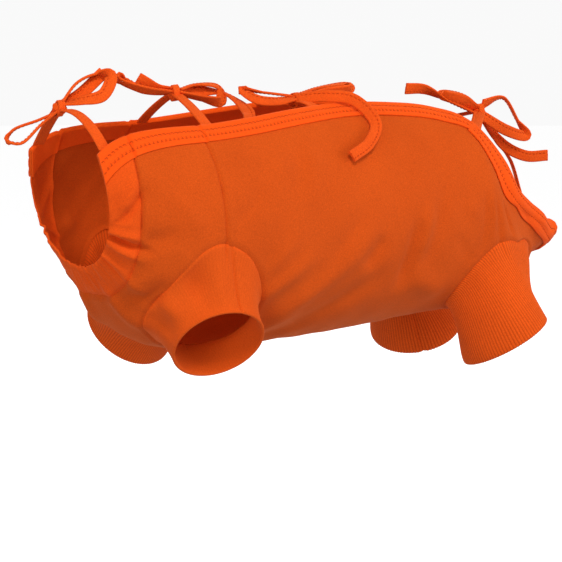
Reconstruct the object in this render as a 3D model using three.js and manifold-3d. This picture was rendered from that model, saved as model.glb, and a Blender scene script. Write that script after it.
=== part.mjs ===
// A knitted pet recovery shirt, in the form it has when worn.
// Millimetres. +X runs from the neck to the rump, +Y to the shirt's right, +Z up.
// The origin is the middle of the line that the back opening follows, halfway along the shirt.
// The body is a U-shaped jersey shell that is open along the back. It has a gathered neck band,
// four rib-knit sleeves, bindings along its edges, and four pairs of flat ties in bows.
import * as THREE from "three";
import Module from "manifold-3d";

const wasm = await Module();
wasm.setup();

// Driving sizes
const SHIRT_LENGTH = 500; // from the neck edge to the rump edge
const TORSO_WIDTH = 176;
const TORSO_HEIGHT = 196; // from the back to the belly
const HALF_GIRTH = 250; // around one flank, from the middle of the belly to a back edge
const JERSEY_WALL = 1.6;
const RIB_WALL = 2.0;
const BINDING_WIDTH = 14;
const BINDING_WALL = 1.2; // each of a binding's two faces
const TIE_WIDTH = 10;
const TIE_WALL = 2;
const BOW_SPAN = 100; // from the end of one loop to the end of the other, in the widest bow
const KNOT_SIZE = 13;
const STATION_STEP = 12; // between the stations of a strand
const GATHER_DEPTH = 2.2; // of the pleats that the neck band's elastic draws up
const GATHERS = 13; // pleats around the neck
const TUCK_WIDTH = 22; // half width of the hollow between the rear cuffs
const GAP = 0.3; // between neighbouring pieces
const BINDING_GAP = 0.36; // between the cloth and the binding folded over it
const MIDDLE = 0.47; // the origin's place along the shirt, as a share of its length

// Sections of the body. at: share of the length. half: half width, as a share of half the torso's width.
// side, low and top: how far the widest place, the belly and the back lie below the origin, as shares of the
// torso's height. edge: half the width of the back opening, as a share of half the torso's width.
// lean: how far the section slants backwards for each mm that it goes down. bow: how far its middle
// stands behind its edges, as a share of the length.
const SECTIONS = [
  { at: -0.013, half: 0.64, side: 0.36, low: 0.64, top: -0.02, edge: 0.57, lean: 0.165, bow: 0, tuck: 0 },
  { at: 0.06, half: 0.82, side: 0.42, low: 0.87, top: -0.01, edge: 0.57, lean: 0.08, bow: 0, tuck: 0 },
  { at: 0.125, half: 0.93, side: 0.45, low: 0.96, top: 0, edge: 0.57, lean: 0.03, bow: 0, tuck: 0 },
  { at: 0.19, half: 0.98, side: 0.46, low: 0.995, top: 0.005, edge: 0.565, lean: 0.01, bow: 0, tuck: 0 },
  { at: 0.28, half: 1, side: 0.47, low: 1, top: -0.012, edge: 0.545, lean: 0, bow: 0, tuck: 0 },
  { at: 0.38, half: 1, side: 0.47, low: 0.995, top: -0.028, edge: 0.49, lean: 0, bow: 0, tuck: 0 },
  { at: 0.48, half: 0.99, side: 0.47, low: 0.98, top: -0.03, edge: 0.42, lean: 0, bow: 0, tuck: 0 },
  { at: 0.58, half: 0.97, side: 0.46, low: 0.96, top: -0.025, edge: 0.41, lean: 0, bow: 0, tuck: 0 },
  { at: 0.67, half: 0.94, side: 0.455, low: 0.955, top: -0.01, edge: 0.44, lean: 0, bow: 0, tuck: 0.05 },
  { at: 0.744, half: 0.91, side: 0.44, low: 0.965, top: 0.04, edge: 0.525, lean: 0, bow: 0, tuck: 0.13 },
  { at: 0.79, half: 0.86, side: 0.45, low: 0.96, top: 0.175, edge: 0.675, lean: 0, bow: 0, tuck: 0.15 },
  { at: 0.816, half: 0.81, side: 0.47, low: 0.94, top: 0.33, edge: 0.69, lean: 0, bow: 0, tuck: 0.14 },
  { at: 0.862, half: 0.67, side: 0.52, low: 0.87, top: 0.42, edge: 0.58, lean: 0, bow: 0, tuck: 0.09 },
  { at: 0.906, half: 0.54, side: 0.57, low: 0.79, top: 0.47, edge: 0.48, lean: 0, bow: 0.003, tuck: 0.03 },
  { at: 0.942, half: 0.37, side: 0.61, low: 0.71, top: 0.515, edge: 0.32, lean: 0, bow: 0.01, tuck: 0 },
  { at: 0.966, half: 0.25, side: 0.585, low: 0.62, top: 0.555, edge: 0.235, lean: 0, bow: 0.018, tuck: 0 },
];

// Seams of the sleeves on the body's left side, as shares along the shirt and around the flank.
const FRONT_SEAM = [
  { at: 0.186, around: 0.562 },
  { at: 0.15, around: 0.545 },
  { at: 0.119, around: 0.48 },
  { at: 0.095, around: 0.4 },
  { at: 0.078, around: 0.3 },
  { at: 0.078, around: 0.213 },
  { at: 0.101, around: 0.145 },
  { at: 0.145, around: 0.1 },
  { at: 0.2, around: 0.09 },
  { at: 0.245, around: 0.14 },
  { at: 0.268, around: 0.24 },
  { at: 0.272, around: 0.34 },
  { at: 0.264, around: 0.43 },
  { at: 0.234, around: 0.518 },
];
const REAR_SEAM = [
  { at: 0.832, around: 0.59 },
  { at: 0.797, around: 0.568 },
  { at: 0.765, around: 0.508 },
  { at: 0.731, around: 0.435 },
  { at: 0.706, around: 0.365 },
  { at: 0.692, around: 0.275 },
  { at: 0.7, around: 0.2 },
  { at: 0.735, around: 0.16 },
  { at: 0.785, around: 0.155 },
  { at: 0.835, around: 0.185 },
  { at: 0.873, around: 0.28 },
  { at: 0.888, around: 0.42 },
  { at: 0.882, around: 0.555 },
  { at: 0.862, around: 0.6 },
];

// Rims of the sleeves. x, out and down: the middle, as shares of the length, of half the torso's width and of the
// torso's height, from the origin. long and wide: half sizes, as shares of the torso's width. splay: how far the outer
// side is turned up. pitch: how far the rear side is turned up, in degrees. reach: how far the sleeve follows the
// body's surface at its seam, and the rim's axis at its rim, as shares of its own length.
const SLEEVES = [
  {
    name: "front_sleeve", seam: FRONT_SEAM, x: -0.27, out: 0.753, down: 0.951,
    long: 0.208, wide: 0.2, splay: 49, pitch: -9, reach: 0.75,
  },
  {
    name: "rear_cuff", seam: REAR_SEAM, x: 0.33, out: 0.7, down: 1.052,
    long: 0.205, wide: 0.235, splay: 15, pitch: 28, reach: 0.6,
  },
];

// Folds of the cloth, on both flanks: each runs from one place to another, given as shares along the shirt and around
// the flank. wide is its half width and high its height, in mm; a valley is negative.
const FOLDS = [
  { at: 0.3, around: 0.29, toAt: 0.5, toAround: 0.55, wide: 9, high: 3 },
  { at: 0.29, around: 0.38, toAt: 0.38, toAround: 0.52, wide: 7, high: 2.2 },
  { at: 0.36, around: 0.24, toAt: 0.52, toAround: 0.4, wide: 10, high: -2.5 },
  { at: 0.55, around: 0.4, toAt: 0.6, toAround: 0.62, wide: 9, high: -4 },
  { at: 0.6, around: 0.42, toAt: 0.63, toAround: 0.66, wide: 8, high: -3.5 },
  { at: 0.58, around: 0.36, toAt: 0.66, toAround: 0.3, wide: 12, high: 4 },
  { at: 0.04, around: 0.55, toAt: 0.1, toAround: 0.6, wide: 8, high: -5 },
  { at: 0.04, around: 0.72, toAt: 0.09, toAround: 0.66, wide: 7, high: -2.5 },
  { at: 0.06, around: 0.3, toAt: 0.13, toAround: 0.36, wide: 9, high: -3 },
  { at: 0.02, around: 0.12, toAt: 0.09, toAround: 0.2, wide: 11, high: 4 },
];

// Ties, from the neck to the rump. at: the place of a tie's straps along the shirt. x, y and z: its knot, as shares of
// the length, of half the torso's width and of the torso's height, from the origin. leftRise and rightRise: how far
// its two straps arch up, as shares of the torso's height.
// Each strand runs out of the knot as a smooth curve: its points are offsets from the knot, as shares of the bow's
// span, with the ribbon's twist in degrees.
const TIES = [
  {
    name: "neck_tie", at: 0.003, x: -0.478, y: 0, z: -0.005, leftRise: 0.045, rightRise: 0.008,
    strands: [
      [
        { x: 0.02, y: 0, z: 0.03, twist: 0 },
        { x: 0.17, y: -0.08, z: 0.06, twist: 40 },
        { x: 0.33, y: -0.11, z: 0.1, twist: 90 },
        { x: 0.45, y: -0.03, z: 0.25, twist: 80 },
        { x: 0.39, y: 0.08, z: 0.26, twist: 0 },
        { x: 0.22, y: 0.08, z: 0.2, twist: 0 },
        { x: 0.01, y: 0, z: 0.03, twist: 0 },
      ],
      [
        { x: 0.04, y: 0.03, z: 0.03, twist: 20 },
        { x: 0.24, y: 0.09, z: 0.1, twist: 80 },
        { x: 0.46, y: 0.09, z: 0.27, twist: 90 },
      ],
      [
        { x: -0.03, y: 0, z: -0.03, twist: 0 },
        { x: -0.14, y: 0.08, z: -0.09, twist: 0 },
        { x: -0.35, y: 0.1, z: -0.16, twist: 0 },
        { x: -0.46, y: 0, z: -0.24, twist: 0 },
        { x: -0.4, y: -0.08, z: -0.26, twist: 0 },
        { x: -0.18, y: -0.03, z: -0.12, twist: 0 },
        { x: -0.03, y: 0, z: -0.03, twist: 0 },
      ],
    ],
  },
  {
    name: "shoulder_tie", at: 0.204, x: -0.264, y: 0, z: 0.046, leftRise: 0.01, rightRise: 0.01,
    strands: [
      [
        { x: -0.02, y: 0.02, z: 0.02, twist: 30 },
        { x: -0.14, y: 0.03, z: 0.03, twist: 60 },
        { x: -0.24, y: 0.04, z: 0.08, twist: 80 },
        { x: -0.32, y: 0.04, z: 0.12, twist: 90 },
      ],
      [
        { x: -0.03, y: 0, z: 0, twist: 20 },
        { x: -0.31, y: -0.04, z: 0.03, twist: 40 },
        { x: -0.52, y: 0, z: 0.11, twist: 20 },
        { x: -0.47, y: 0.08, z: 0.14, twist: 0 },
        { x: -0.23, y: 0.08, z: 0.04, twist: 0 },
        { x: -0.03, y: 0, z: 0.01, twist: 0 },
      ],
      [
        { x: 0.03, y: 0, z: 0.02, twist: 0 },
        { x: 0.25, y: 0.05, z: 0.06, twist: 0 },
        { x: 0.47, y: 0.06, z: 0.03, twist: 20 },
        { x: 0.45, y: 0, z: -0.07, twist: 80 },
        { x: 0.26, y: -0.05, z: -0.05, twist: 30 },
        { x: 0.02, y: -0.02, z: 0, twist: 20 },
      ],
      [
        { x: 0.05, y: 0.03, z: 0.01, twist: 20 },
        { x: 0.3, y: 0.08, z: 0.01, twist: 60 },
        { x: 0.51, y: 0.07, z: -0.01, twist: 0 },
        { x: 0.58, y: -0.03, z: -0.07, twist: 20 },
        { x: 0.54, y: -0.26, z: -0.16, twist: 80 },
        { x: 0.47, y: -0.38, z: -0.21, twist: 90 },
      ],
    ],
  },
  {
    name: "middle_tie", at: 0.43, x: -0.042, y: -0.136, z: 0.005, leftRise: 0.008, rightRise: 0.02,
    strands: [
      [
        { x: -0.04, y: 0.02, z: 0.04, twist: 0 },
        { x: -0.27, y: 0.09, z: 0.07, twist: 0 },
        { x: -0.49, y: 0.06, z: 0.09, twist: 30 },
        { x: -0.42, y: -0.04, z: 0.02, twist: 50 },
        { x: -0.24, y: -0.06, z: 0, twist: 40 },
        { x: -0.03, y: -0.02, z: 0.02, twist: 20 },
      ],
      [
        { x: 0.03, y: 0, z: 0.05, twist: 0 },
        { x: 0.32, y: 0.08, z: 0.1, twist: 0 },
        { x: 0.56, y: 0.05, z: 0.12, twist: 20 },
        { x: 0.51, y: -0.07, z: 0.09, twist: 50 },
        { x: 0.22, y: -0.11, z: 0.06, twist: 60 },
        { x: 0.01, y: -0.03, z: 0.02, twist: 20 },
      ],
      [
        { x: -0.01, y: -0.06, z: 0.02, twist: 50 },
        { x: 0.14, y: -0.23, z: 0.04, twist: 80 },
        { x: 0.33, y: -0.36, z: 0.01, twist: 90 },
        { x: 0.43, y: -0.52, z: -0.17, twist: 90 },
        { x: 0.27, y: -0.65, z: -0.33, twist: 90 },
        { x: 0.05, y: -0.71, z: -0.43, twist: 90 },
      ],
    ],
  },
  {
    name: "rump_tie", at: 0.752, x: 0.370, y: 0, z: -0.066, leftRise: 0, rightRise: 0,
    strands: [
      [
        { x: -0.08, y: 0, z: 0, twist: 0 },
        { x: -0.36, y: 0.02, z: 0.11, twist: 0 },
        { x: -0.57, y: 0.05, z: 0.2, twist: 60 },
        { x: -0.77, y: 0.05, z: 0.21, twist: 80 },
      ],
      [
        { x: -0.04, y: -0.01, z: 0.02, twist: 60 },
        { x: -0.22, y: -0.04, z: 0.1, twist: 80 },
        { x: -0.41, y: -0.01, z: 0.15, twist: 60 },
        { x: -0.33, y: 0.05, z: 0.17, twist: 20 },
        { x: -0.08, y: 0.08, z: 0.13, twist: 0 },
        { x: 0.02, y: 0.02, z: 0.03, twist: 0 },
      ],
      [
        { x: 0.03, y: -0.02, z: -0.04, twist: 60 },
        { x: 0.26, y: -0.07, z: -0.17, twist: 90 },
        { x: 0.53, y: -0.02, z: -0.22, twist: 60 },
        { x: 0.51, y: 0.07, z: -0.1, twist: 0 },
        { x: 0.35, y: 0.07, z: 0.1, twist: 0 },
        { x: 0.04, y: 0, z: 0.06, twist: 60 },
      ],
      [
        { x: 0.02, y: 0.01, z: -0.02, twist: 30 },
        { x: 0.2, y: 0.05, z: -0.19, twist: 40 },
        { x: 0.38, y: 0.06, z: -0.33, twist: 80 },
        { x: 0.57, y: 0.02, z: -0.41, twist: 90 },
        { x: 0.8, y: 0, z: -0.41, twist: 90 },
      ],
      [
        { x: 0.02, y: 0.02, z: -0.02, twist: 20 },
        { x: 0.27, y: 0.16, z: -0.21, twist: 10 },
        { x: 0.59, y: 0.26, z: -0.46, twist: 0 },
        { x: 0.73, y: 0.29, z: -0.74, twist: 0 },
      ],
    ],
  },
];

// The smooth value of one column of a table at a place along it
function column(table, name, at) {
  const last = table.length - 1;
  let i = 0;
  while (i < last - 1 && at > table[i + 1].at) i++;
  const slope = (k) => {
    const a = table[Math.max(0, k - 1)];
    const b = table[Math.min(last, k + 1)];
    return (b[name] - a[name]) / (b.at - a.at);
  };
  const span = table[i + 1].at - table[i].at;
  const t = Math.min(1, Math.max(0, (at - table[i].at) / span));
  const t2 = t * t;
  const t3 = t2 * t;
  return (
    (2 * t3 - 3 * t2 + 1) * table[i][name] +
    (t3 - 2 * t2 + t) * span * slope(i) +
    (3 * t2 - 2 * t3) * table[i + 1][name] +
    (t3 - t2) * span * slope(i + 1)
  );
}

const FIRST = SECTIONS[0].at;
const LAST = SECTIONS[SECTIONS.length - 1].at;

// A point of the smooth body: at runs along the shirt, around from -1 at the left back edge,
// through 0 at the belly, to 1 at the right back edge.
function bodyPoint(at, around) {
  const get = (name) => column(SECTIONS, name, at);
  const half = (get("half") * TORSO_WIDTH) / 2;
  const edge = (get("edge") * TORSO_WIDTH) / 2;
  const side = -get("side") * TORSO_HEIGHT;
  const low = -get("low") * TORSO_HEIGHT;
  const top = -get("top") * TORSO_HEIGHT;
  const full = Math.PI - Math.asin(Math.min(0.999, edge / half));
  const angle = Math.abs(around) * full;
  const y = half * Math.sin(angle) * Math.sign(around);
  const z = angle < Math.PI / 2
    ? side + (low - side) * Math.cos(angle)
    : side - (top - side) * Math.cos(angle);
  const x = (at - MIDDLE + get("bow") * (1 - around * around)) * SHIRT_LENGTH - get("lean") * z;
  const tuck = get("tuck") * TORSO_HEIGHT * Math.exp(-((y / TUCK_WIDTH) ** 2));
  return new THREE.Vector3(x, y, angle < Math.PI / 2 ? z + tuck : z);
}

// The normal of the smooth body, which points inwards
function bodyNormal(at, around) {
  const step = 0.002;
  const a0 = Math.max(FIRST, at - step);
  const a1 = Math.min(LAST, at + step);
  const r0 = Math.max(-1, around - step);
  const r1 = Math.min(1, around + step);
  const along = bodyPoint(a1, around).sub(bodyPoint(a0, around));
  const across = bodyPoint(at, r1).sub(bodyPoint(at, r0));
  return across.cross(along).normalize().negate();
}

// How far the cloth stands off the smooth body at a place: its folds and the gathers of the neck
function clothHeight(at, around) {
  const flank = Math.abs(around);
  let height = 0;
  for (const fold of FOLDS) {
    const ax = (fold.toAt - fold.at) * SHIRT_LENGTH;
    const ay = (fold.toAround - fold.around) * HALF_GIRTH;
    const px = (at - fold.at) * SHIRT_LENGTH;
    const py = (flank - fold.around) * HALF_GIRTH;
    const t = (px * ax + py * ay) / (ax * ax + ay * ay);
    const off = (px * ay - py * ax) / Math.hypot(ax, ay);
    const along = Math.exp(-((2 * (t - 0.5)) ** 4));
    height += fold.high * along * Math.exp(-((off / fold.wide) ** 2));
  }
  const free = Math.min(1, Math.max(0, ((1 - flank) * HALF_GIRTH - 24) / 25));
  const near = Math.min(1, Math.max(0, (neckSeam(around) - at) / 0.02));
  const pleat = 0.5 - 0.5 * Math.cos(2 * Math.PI * GATHERS * around);
  return free * (height - GATHER_DEPTH * near * pleat);
}

// A point of the cloth's inner face
function clothPoint(at, around) {
  return bodyPoint(at, around).addScaledVector(bodyNormal(at, around), -clothHeight(at, around));
}

// A closed shell from a grid of inner points and inward normals. closed: whether the columns join up.
// wallAt: its thickness there, outwards from the inner points.
function shell(rows, columns, closed, pointAt, normalAt, wallAt) {
  const across = closed ? columns : columns + 1;
  const positions = [];
  for (const outer of [false, true]) {
    for (let i = 0; i <= rows; i++) {
      for (let j = 0; j < across; j++) {
        const p = pointAt(i, j);
        if (outer) p.addScaledVector(normalAt(i, j), -wallAt(i, j));
        positions.push(p.x, p.y, p.z);
      }
    }
  }
  const layer = (rows + 1) * across;
  const at = (i, j, outer) => i * across + (j % across) + (outer ? layer : 0);
  const faces = [];
  const quad = (a, b, c, d) => faces.push(a, b, c, a, c, d);
  for (let i = 0; i < rows; i++) {
    for (let j = 0; j < columns; j++) {
      quad(at(i, j, 0), at(i, j + 1, 0), at(i + 1, j + 1, 0), at(i + 1, j, 0));
      quad(at(i, j, 1), at(i + 1, j, 1), at(i + 1, j + 1, 1), at(i, j + 1, 1));
    }
  }
  for (let j = 0; j < columns; j++) {
    quad(at(0, j, 1), at(0, j + 1, 1), at(0, j + 1, 0), at(0, j, 0));
    quad(at(rows, j, 0), at(rows, j + 1, 0), at(rows, j + 1, 1), at(rows, j, 1));
  }
  if (!closed) {
    for (let i = 0; i < rows; i++) {
      quad(at(i, 0, 0), at(i + 1, 0, 0), at(i + 1, 0, 1), at(i, 0, 1));
      quad(at(i, columns, 1), at(i + 1, columns, 1), at(i + 1, columns, 0), at(i, columns, 0));
    }
  }
  return facingOut(positions, faces);
}

// A solid's geometry with its faces turned outwards
function facingOut(positions, faces) {
  let volume = 0;
  const corner = (k) => new THREE.Vector3(...positions.slice(3 * k, 3 * k + 3));
  for (let i = 0; i < faces.length; i += 3) {
    volume += corner(faces[i]).dot(corner(faces[i + 1]).cross(corner(faces[i + 2])));
  }
  if (volume < 0) faces.reverse();
  const geometry = new THREE.BufferGeometry();
  geometry.setAttribute("position", new THREE.Float32BufferAttribute(positions, 3));
  geometry.setIndex(faces);
  return geometry;
}

function toManifold(geometry) {
  return new wasm.Manifold(
    new wasm.Mesh({
      numProp: 3,
      vertProperties: Float32Array.from(geometry.getAttribute("position").array),
      triVerts: Uint32Array.from(geometry.index.array),
    }),
  );
}

function fromManifold(solid) {
  const mesh = solid.getMesh();
  const geometry = new THREE.BufferGeometry();
  geometry.setAttribute("position", new THREE.Float32BufferAttribute(Array.from(mesh.vertProperties), 3));
  geometry.setIndex(Array.from(mesh.triVerts));
  return geometry;
}

const CORNER = 0.742; // where the back bindings meet the rump binding, as a share of the length
const TIP = LAST - BINDING_WIDTH / SHIRT_LENGTH; // the inner edge of the rump binding, between the rear cuffs

// Even marks from 0 to 1
function evenMarks(rows) {
  return Array.from({ length: rows + 1 }, (_, i) => i / rows);
}
const NECK_MARKS = evenMarks(3);
const FRONT_MARKS = evenMarks(5);
const LOIN_MARKS = evenMarks(14);
const RUMP_MARKS = evenMarks(7);

// Places along the shirt where the neck band and the side seams cross it
const neckSeam = (around) => 0.022 + 0.026 * Math.abs(around);
function sideSeam(around) {
  const up = Math.max(0, (Math.abs(around) - 0.45) / 0.55);
  return 0.19 - 0.045 * (1 - (1 - up) ** 1.6);
}

// Half the girth of the body at each place along it, measured from the belly to a back edge
function girthAt(at) {
  let sum = 0;
  let last = bodyPoint(at, 0);
  for (let k = 1; k <= 24; k++) {
    const next = bodyPoint(at, k / 24);
    sum += next.distanceTo(last);
    last = next;
  }
  return sum;
}

// Columns of the body's grid: one under each back binding, and even ones between them
const COLUMNS = 22;
function columnAround(at, j, columns = COLUMNS) {
  const share = BINDING_WIDTH / girthAt(at);
  const fromEdge = Math.min(j, columns - j);
  const sign = j < columns / 2 ? -1 : 1;
  if (fromEdge === 0) return sign;
  return sign * (1 - share) * (1 - (fromEdge - 1) / (columns / 2 - 1));
}

// A stretch of the body's grid. marks: for each row, the share of the way from one end of the stretch to the other.
// Its spot function gives the place along and around the body of each row and column.
function stretch(marks, columns, fromAt, toAt) {
  const spot = (i, j) => {
    const fromEdge = Math.min(j, columns - j);
    let at = 0.3;
    let around = 0;
    for (let pass = 0; pass < 3; pass++) {
      around = columnAround(at, j, columns);
      const across = fromEdge <= 1 ? Math.sign(around) : around;
      at = fromAt(across) + (toAt(across) - fromAt(across)) * marks[i];
    }
    return [at, around];
  };
  return { rows: marks.length - 1, columns, spot };
}

function panel({ rows, columns, spot }) {
  return shell(
    rows, columns, false,
    (i, j) => clothPoint(...spot(i, j)),
    (i, j) => bodyNormal(...spot(i, j)),
    () => JERSEY_WALL,
  );
}

// A slab over a patch of the grid, between two depths inwards of the cloth's inner face. The patch is a list of
// rows of spots.
// past: how far each of its sides is moved outwards along the cloth.
function slab(patch, high, low, past) {
  const rows = patch.length - 1;
  const columns = patch[0].length - 1;
  const points = patch.map((row) => row.map((spot) => clothPoint(...spot)));
  const normals = patch.map((row) => row.map((spot) => bodyNormal(...spot)));
  const move = (point, inner, far) => point.addScaledVector(point.clone().sub(inner).normalize(), far);
  for (let j = 0; j <= columns; j++) {
    if (past.start) move(points[0][j], points[1][j], past.start);
    if (past.end) move(points[rows][j], points[rows - 1][j], past.end);
  }
  for (let i = 0; i <= rows; i++) {
    if (past.left) move(points[i][0], points[i][1], past.left);
    if (past.right) move(points[i][columns], points[i][columns - 1], past.right);
  }
  return toManifold(
    shell(
      rows, columns, false,
      (i, j) => points[i][j].clone().addScaledVector(normals[i][j], high),
      (i, j) => normals[i][j],
      () => high - low,
    ),
  );
}

// A place on a sleeve's seam: turn runs once around it, and scale shrinks it towards its middle
function seamSpot(seam, turn, scale, side) {
  const count = seam.length;
  const middle = { at: 0, around: 0 };
  for (const knot of seam) {
    middle.at += knot.at / count;
    middle.around += knot.around / count;
  }
  const place = (((turn % 1) + 1) % 1) * count;
  const i = Math.floor(place);
  const t = place - i;
  const knot = (k, name) => seam[(i + k + count) % count][name];
  const smooth = (name) => 0.5 * (
    2 * knot(0, name) + (knot(1, name) - knot(-1, name)) * t +
    (2 * knot(-1, name) - 5 * knot(0, name) + 4 * knot(1, name) - knot(2, name)) * t * t +
    (3 * knot(0, name) - knot(-1, name) - 3 * knot(1, name) + knot(2, name)) * t * t * t
  );
  const at = middle.at + (smooth("at") - middle.at) * scale;
  const around = middle.around + (smooth("around") - middle.around) * scale;
  return [at, side * around];
}

// The solid that cuts a sleeve's hole out of the body: a thick disc that follows the body's surface
const AROUND_SLEEVE = 20;
function holeCutter(seam, side) {
  const rings = 4;
  const reach = 5;
  const positions = [];
  for (const offset of [reach, -reach]) {
    for (let k = 0; k <= rings; k++) {
      for (let j = 0; j < AROUND_SLEEVE; j++) {
        if (k === rings && j > 0) break;
        const spot = seamSpot(seam, j / AROUND_SLEEVE, 1 - k / rings, side);
        const p = bodyPoint(...spot).addScaledVector(bodyNormal(...spot), offset);
        positions.push(p.x, p.y, p.z);
      }
    }
  }
  const layer = rings * AROUND_SLEEVE + 1;
  const at = (k, j, low) => (k === rings ? rings * AROUND_SLEEVE : k * AROUND_SLEEVE + (j % AROUND_SLEEVE)) + low * layer;
  const faces = [];
  for (let j = 0; j < AROUND_SLEEVE; j++) {
    for (let k = 0; k < rings; k++) {
      for (const low of [0, 1]) {
        const ring = [at(k, j, low), at(k, j + 1, low), at(k + 1, j + 1, low), at(k + 1, j, low)];
        if (low) ring.reverse();
        faces.push(ring[0], ring[1], ring[2]);
        if (k < rings - 1) faces.push(ring[0], ring[2], ring[3]);
        else if (low) faces.splice(-3, 3, ring[3], ring[0], ring[2]);
      }
    }
    faces.push(at(0, j + 1, 0), at(0, j, 0), at(0, j, 1), at(0, j + 1, 0), at(0, j, 1), at(0, j + 1, 1));
  }
  return toManifold(facingOut(positions, faces));
}

// A sleeve's rim ring: its middle, its two directions and its axis
function rimFrame(sleeve, side) {
  const splay = THREE.MathUtils.degToRad(sleeve.splay);
  const pitch = THREE.MathUtils.degToRad(sleeve.pitch);
  const fore = new THREE.Vector3(Math.cos(pitch), 0, Math.sin(pitch));
  const wide = new THREE.Vector3(0, side * Math.cos(splay), Math.sin(splay));
  wide.addScaledVector(fore, -wide.dot(fore)).normalize();
  const middle = new THREE.Vector3(
    sleeve.x * SHIRT_LENGTH, (side * sleeve.out * TORSO_WIDTH) / 2, -sleeve.down * TORSO_HEIGHT,
  );
  const axis = fore.clone().cross(wide).multiplyScalar(-side);
  return { middle, fore, wide, axis };
}

// A point of a sleeve: turn runs around it, and down from 0 at its seam to 1 at its rim
function sleevePoint(sleeve, side, turn, down) {
  const spot = seamSpot(sleeve.seam, turn, 1 - (2.8 * GAP) / 40, side);
  const start = bodyPoint(...spot);
  const inside = bodyPoint(...seamSpot(sleeve.seam, turn, 0.93, side));
  const into = inside.sub(start).normalize();
  const { middle, fore, wide, axis } = rimFrame(sleeve, side);
  const away = start.clone().sub(middle);
  const angle = Math.atan2(away.dot(wide), away.dot(fore));
  const end = middle.clone()
    .addScaledVector(fore, Math.cos(angle) * sleeve.long * TORSO_WIDTH)
    .addScaledVector(wide, Math.sin(angle) * sleeve.wide * TORSO_WIDTH);
  const far = start.distanceTo(end);
  const t = down;
  const t2 = t * t;
  const t3 = t2 * t;
  return start.multiplyScalar(2 * t3 - 3 * t2 + 1)
    .addScaledVector(into, (t3 - 2 * t2 + t) * far * sleeve.reach)
    .addScaledVector(end, 3 * t2 - 2 * t3)
    .addScaledVector(axis, (t3 - t2) * far * sleeve.reach);
}

function sleeveNormal(sleeve, side, turn, down) {
  if (down === 0) return bodyNormal(...seamSpot(sleeve.seam, turn, 1, side));
  const step = 0.01;
  const along = sleevePoint(sleeve, side, turn, Math.min(1, down + step))
    .sub(sleevePoint(sleeve, side, turn, down - step));
  const across = sleevePoint(sleeve, side, turn + step, down)
    .sub(sleevePoint(sleeve, side, turn - step, down));
  return across.cross(along).multiplyScalar(side).normalize();
}

const shirt = new THREE.Group();

function add(name, geometry, color) {
  const material = new THREE.MeshStandardMaterial({ color, roughness: 0.9, metalness: 0 });
  const mesh = new THREE.Mesh(geometry, material);
  mesh.name = name;
  shirt.add(mesh);
}

const JERSEY = 0xdd5a14;
const RIB = 0xe85c18;
const half = GAP / 2 / SHIRT_LENGTH;
const cutters = { front: [], rear: [] };
for (const side of [-1, 1]) {
  cutters.front.push(holeCutter(FRONT_SEAM, side));
  cutters.rear.push(holeCutter(REAR_SEAM, side));
}

const rearLength = LAST - sideSeam(1) - half;
const rearMarks = [
  ...LOIN_MARKS.map((mark) => (mark * (CORNER - sideSeam(1) - half)) / rearLength),
  ...RUMP_MARKS.slice(1).map((mark) => (CORNER + mark * (TIP - CORNER) - sideSeam(1) - half) / rearLength),
  1,
];
const neckStretch = stretch(NECK_MARKS, 2 * COLUMNS, () => FIRST, (r) => neckSeam(r) - half);
const frontStretch = stretch(FRONT_MARKS, COLUMNS, (r) => neckSeam(r) + half, (r) => sideSeam(r) - half);
const rearStretch = stretch(rearMarks, COLUMNS, (r) => sideSeam(r) + half, () => LAST);

add("neck_band", panel(neckStretch), RIB);
let front = toManifold(panel(frontStretch));
let rear = toManifold(panel(rearStretch));
for (const cutter of cutters.front) {
  front = front.subtract(cutter);
  rear = rear.subtract(cutter);
}
for (const cutter of cutters.rear) rear = rear.subtract(cutter);
add("front_panel", fromManifold(front), JERSEY);
add("rear_panel", fromManifold(rear), JERSEY);

for (const sleeve of SLEEVES) {
  for (const side of [-1, 1]) {
    const rows = 4;
    add(
      `${side < 0 ? "left" : "right"}_${sleeve.name}`,
      shell(
        rows, AROUND_SLEEVE, true,
        (i, j) => sleevePoint(sleeve, side, j / AROUND_SLEEVE, i / rows),
        (i, j) => sleeveNormal(sleeve, side, j / AROUND_SLEEVE, i / rows),
        (i) => JERSEY_WALL + ((RIB_WALL - JERSEY_WALL) * i) / rows,
      ),
      RIB,
    );
  }
}

// The bindings: cloth tape folded over the edges of the body
function patchOf({ spot }, fromRow, toRow, fromColumn, toColumn) {
  const patch = [];
  for (let i = fromRow; i <= toRow; i++) {
    const row = [];
    for (let j = fromColumn; j <= toColumn; j++) row.push(spot(i, j));
    patch.push(row);
  }
  return patch;
}

// The strip of a stretch that lies under a side's binding
function stripOf(part, fromRow, toRow, side) {
  const from = side < 0 ? 0 : part.columns - 1;
  return patchOf(part, fromRow, toRow, from, from + 1);
}

// A solid around patches of cloth that stands off them by a clearance
function around(patches, clear, sides) {
  let solid;
  for (const { patch, open, free } of patches) {
    const past = { ...open };
    for (const name of free) past[name] = clear;
    const piece = slab(patch, clear, -JERSEY_WALL - clear, sides ? past : pickSides(past, free));
    solid = solid ? solid.add(piece) : piece;
  }
  return solid;
}
const pickSides = (past, names) => Object.fromEntries(names.map((name) => [name, past[name]]));

function binding(patches) {
  return around(patches, BINDING_GAP + BINDING_WALL, false).subtract(around(patches, BINDING_GAP, true));
}

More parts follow.
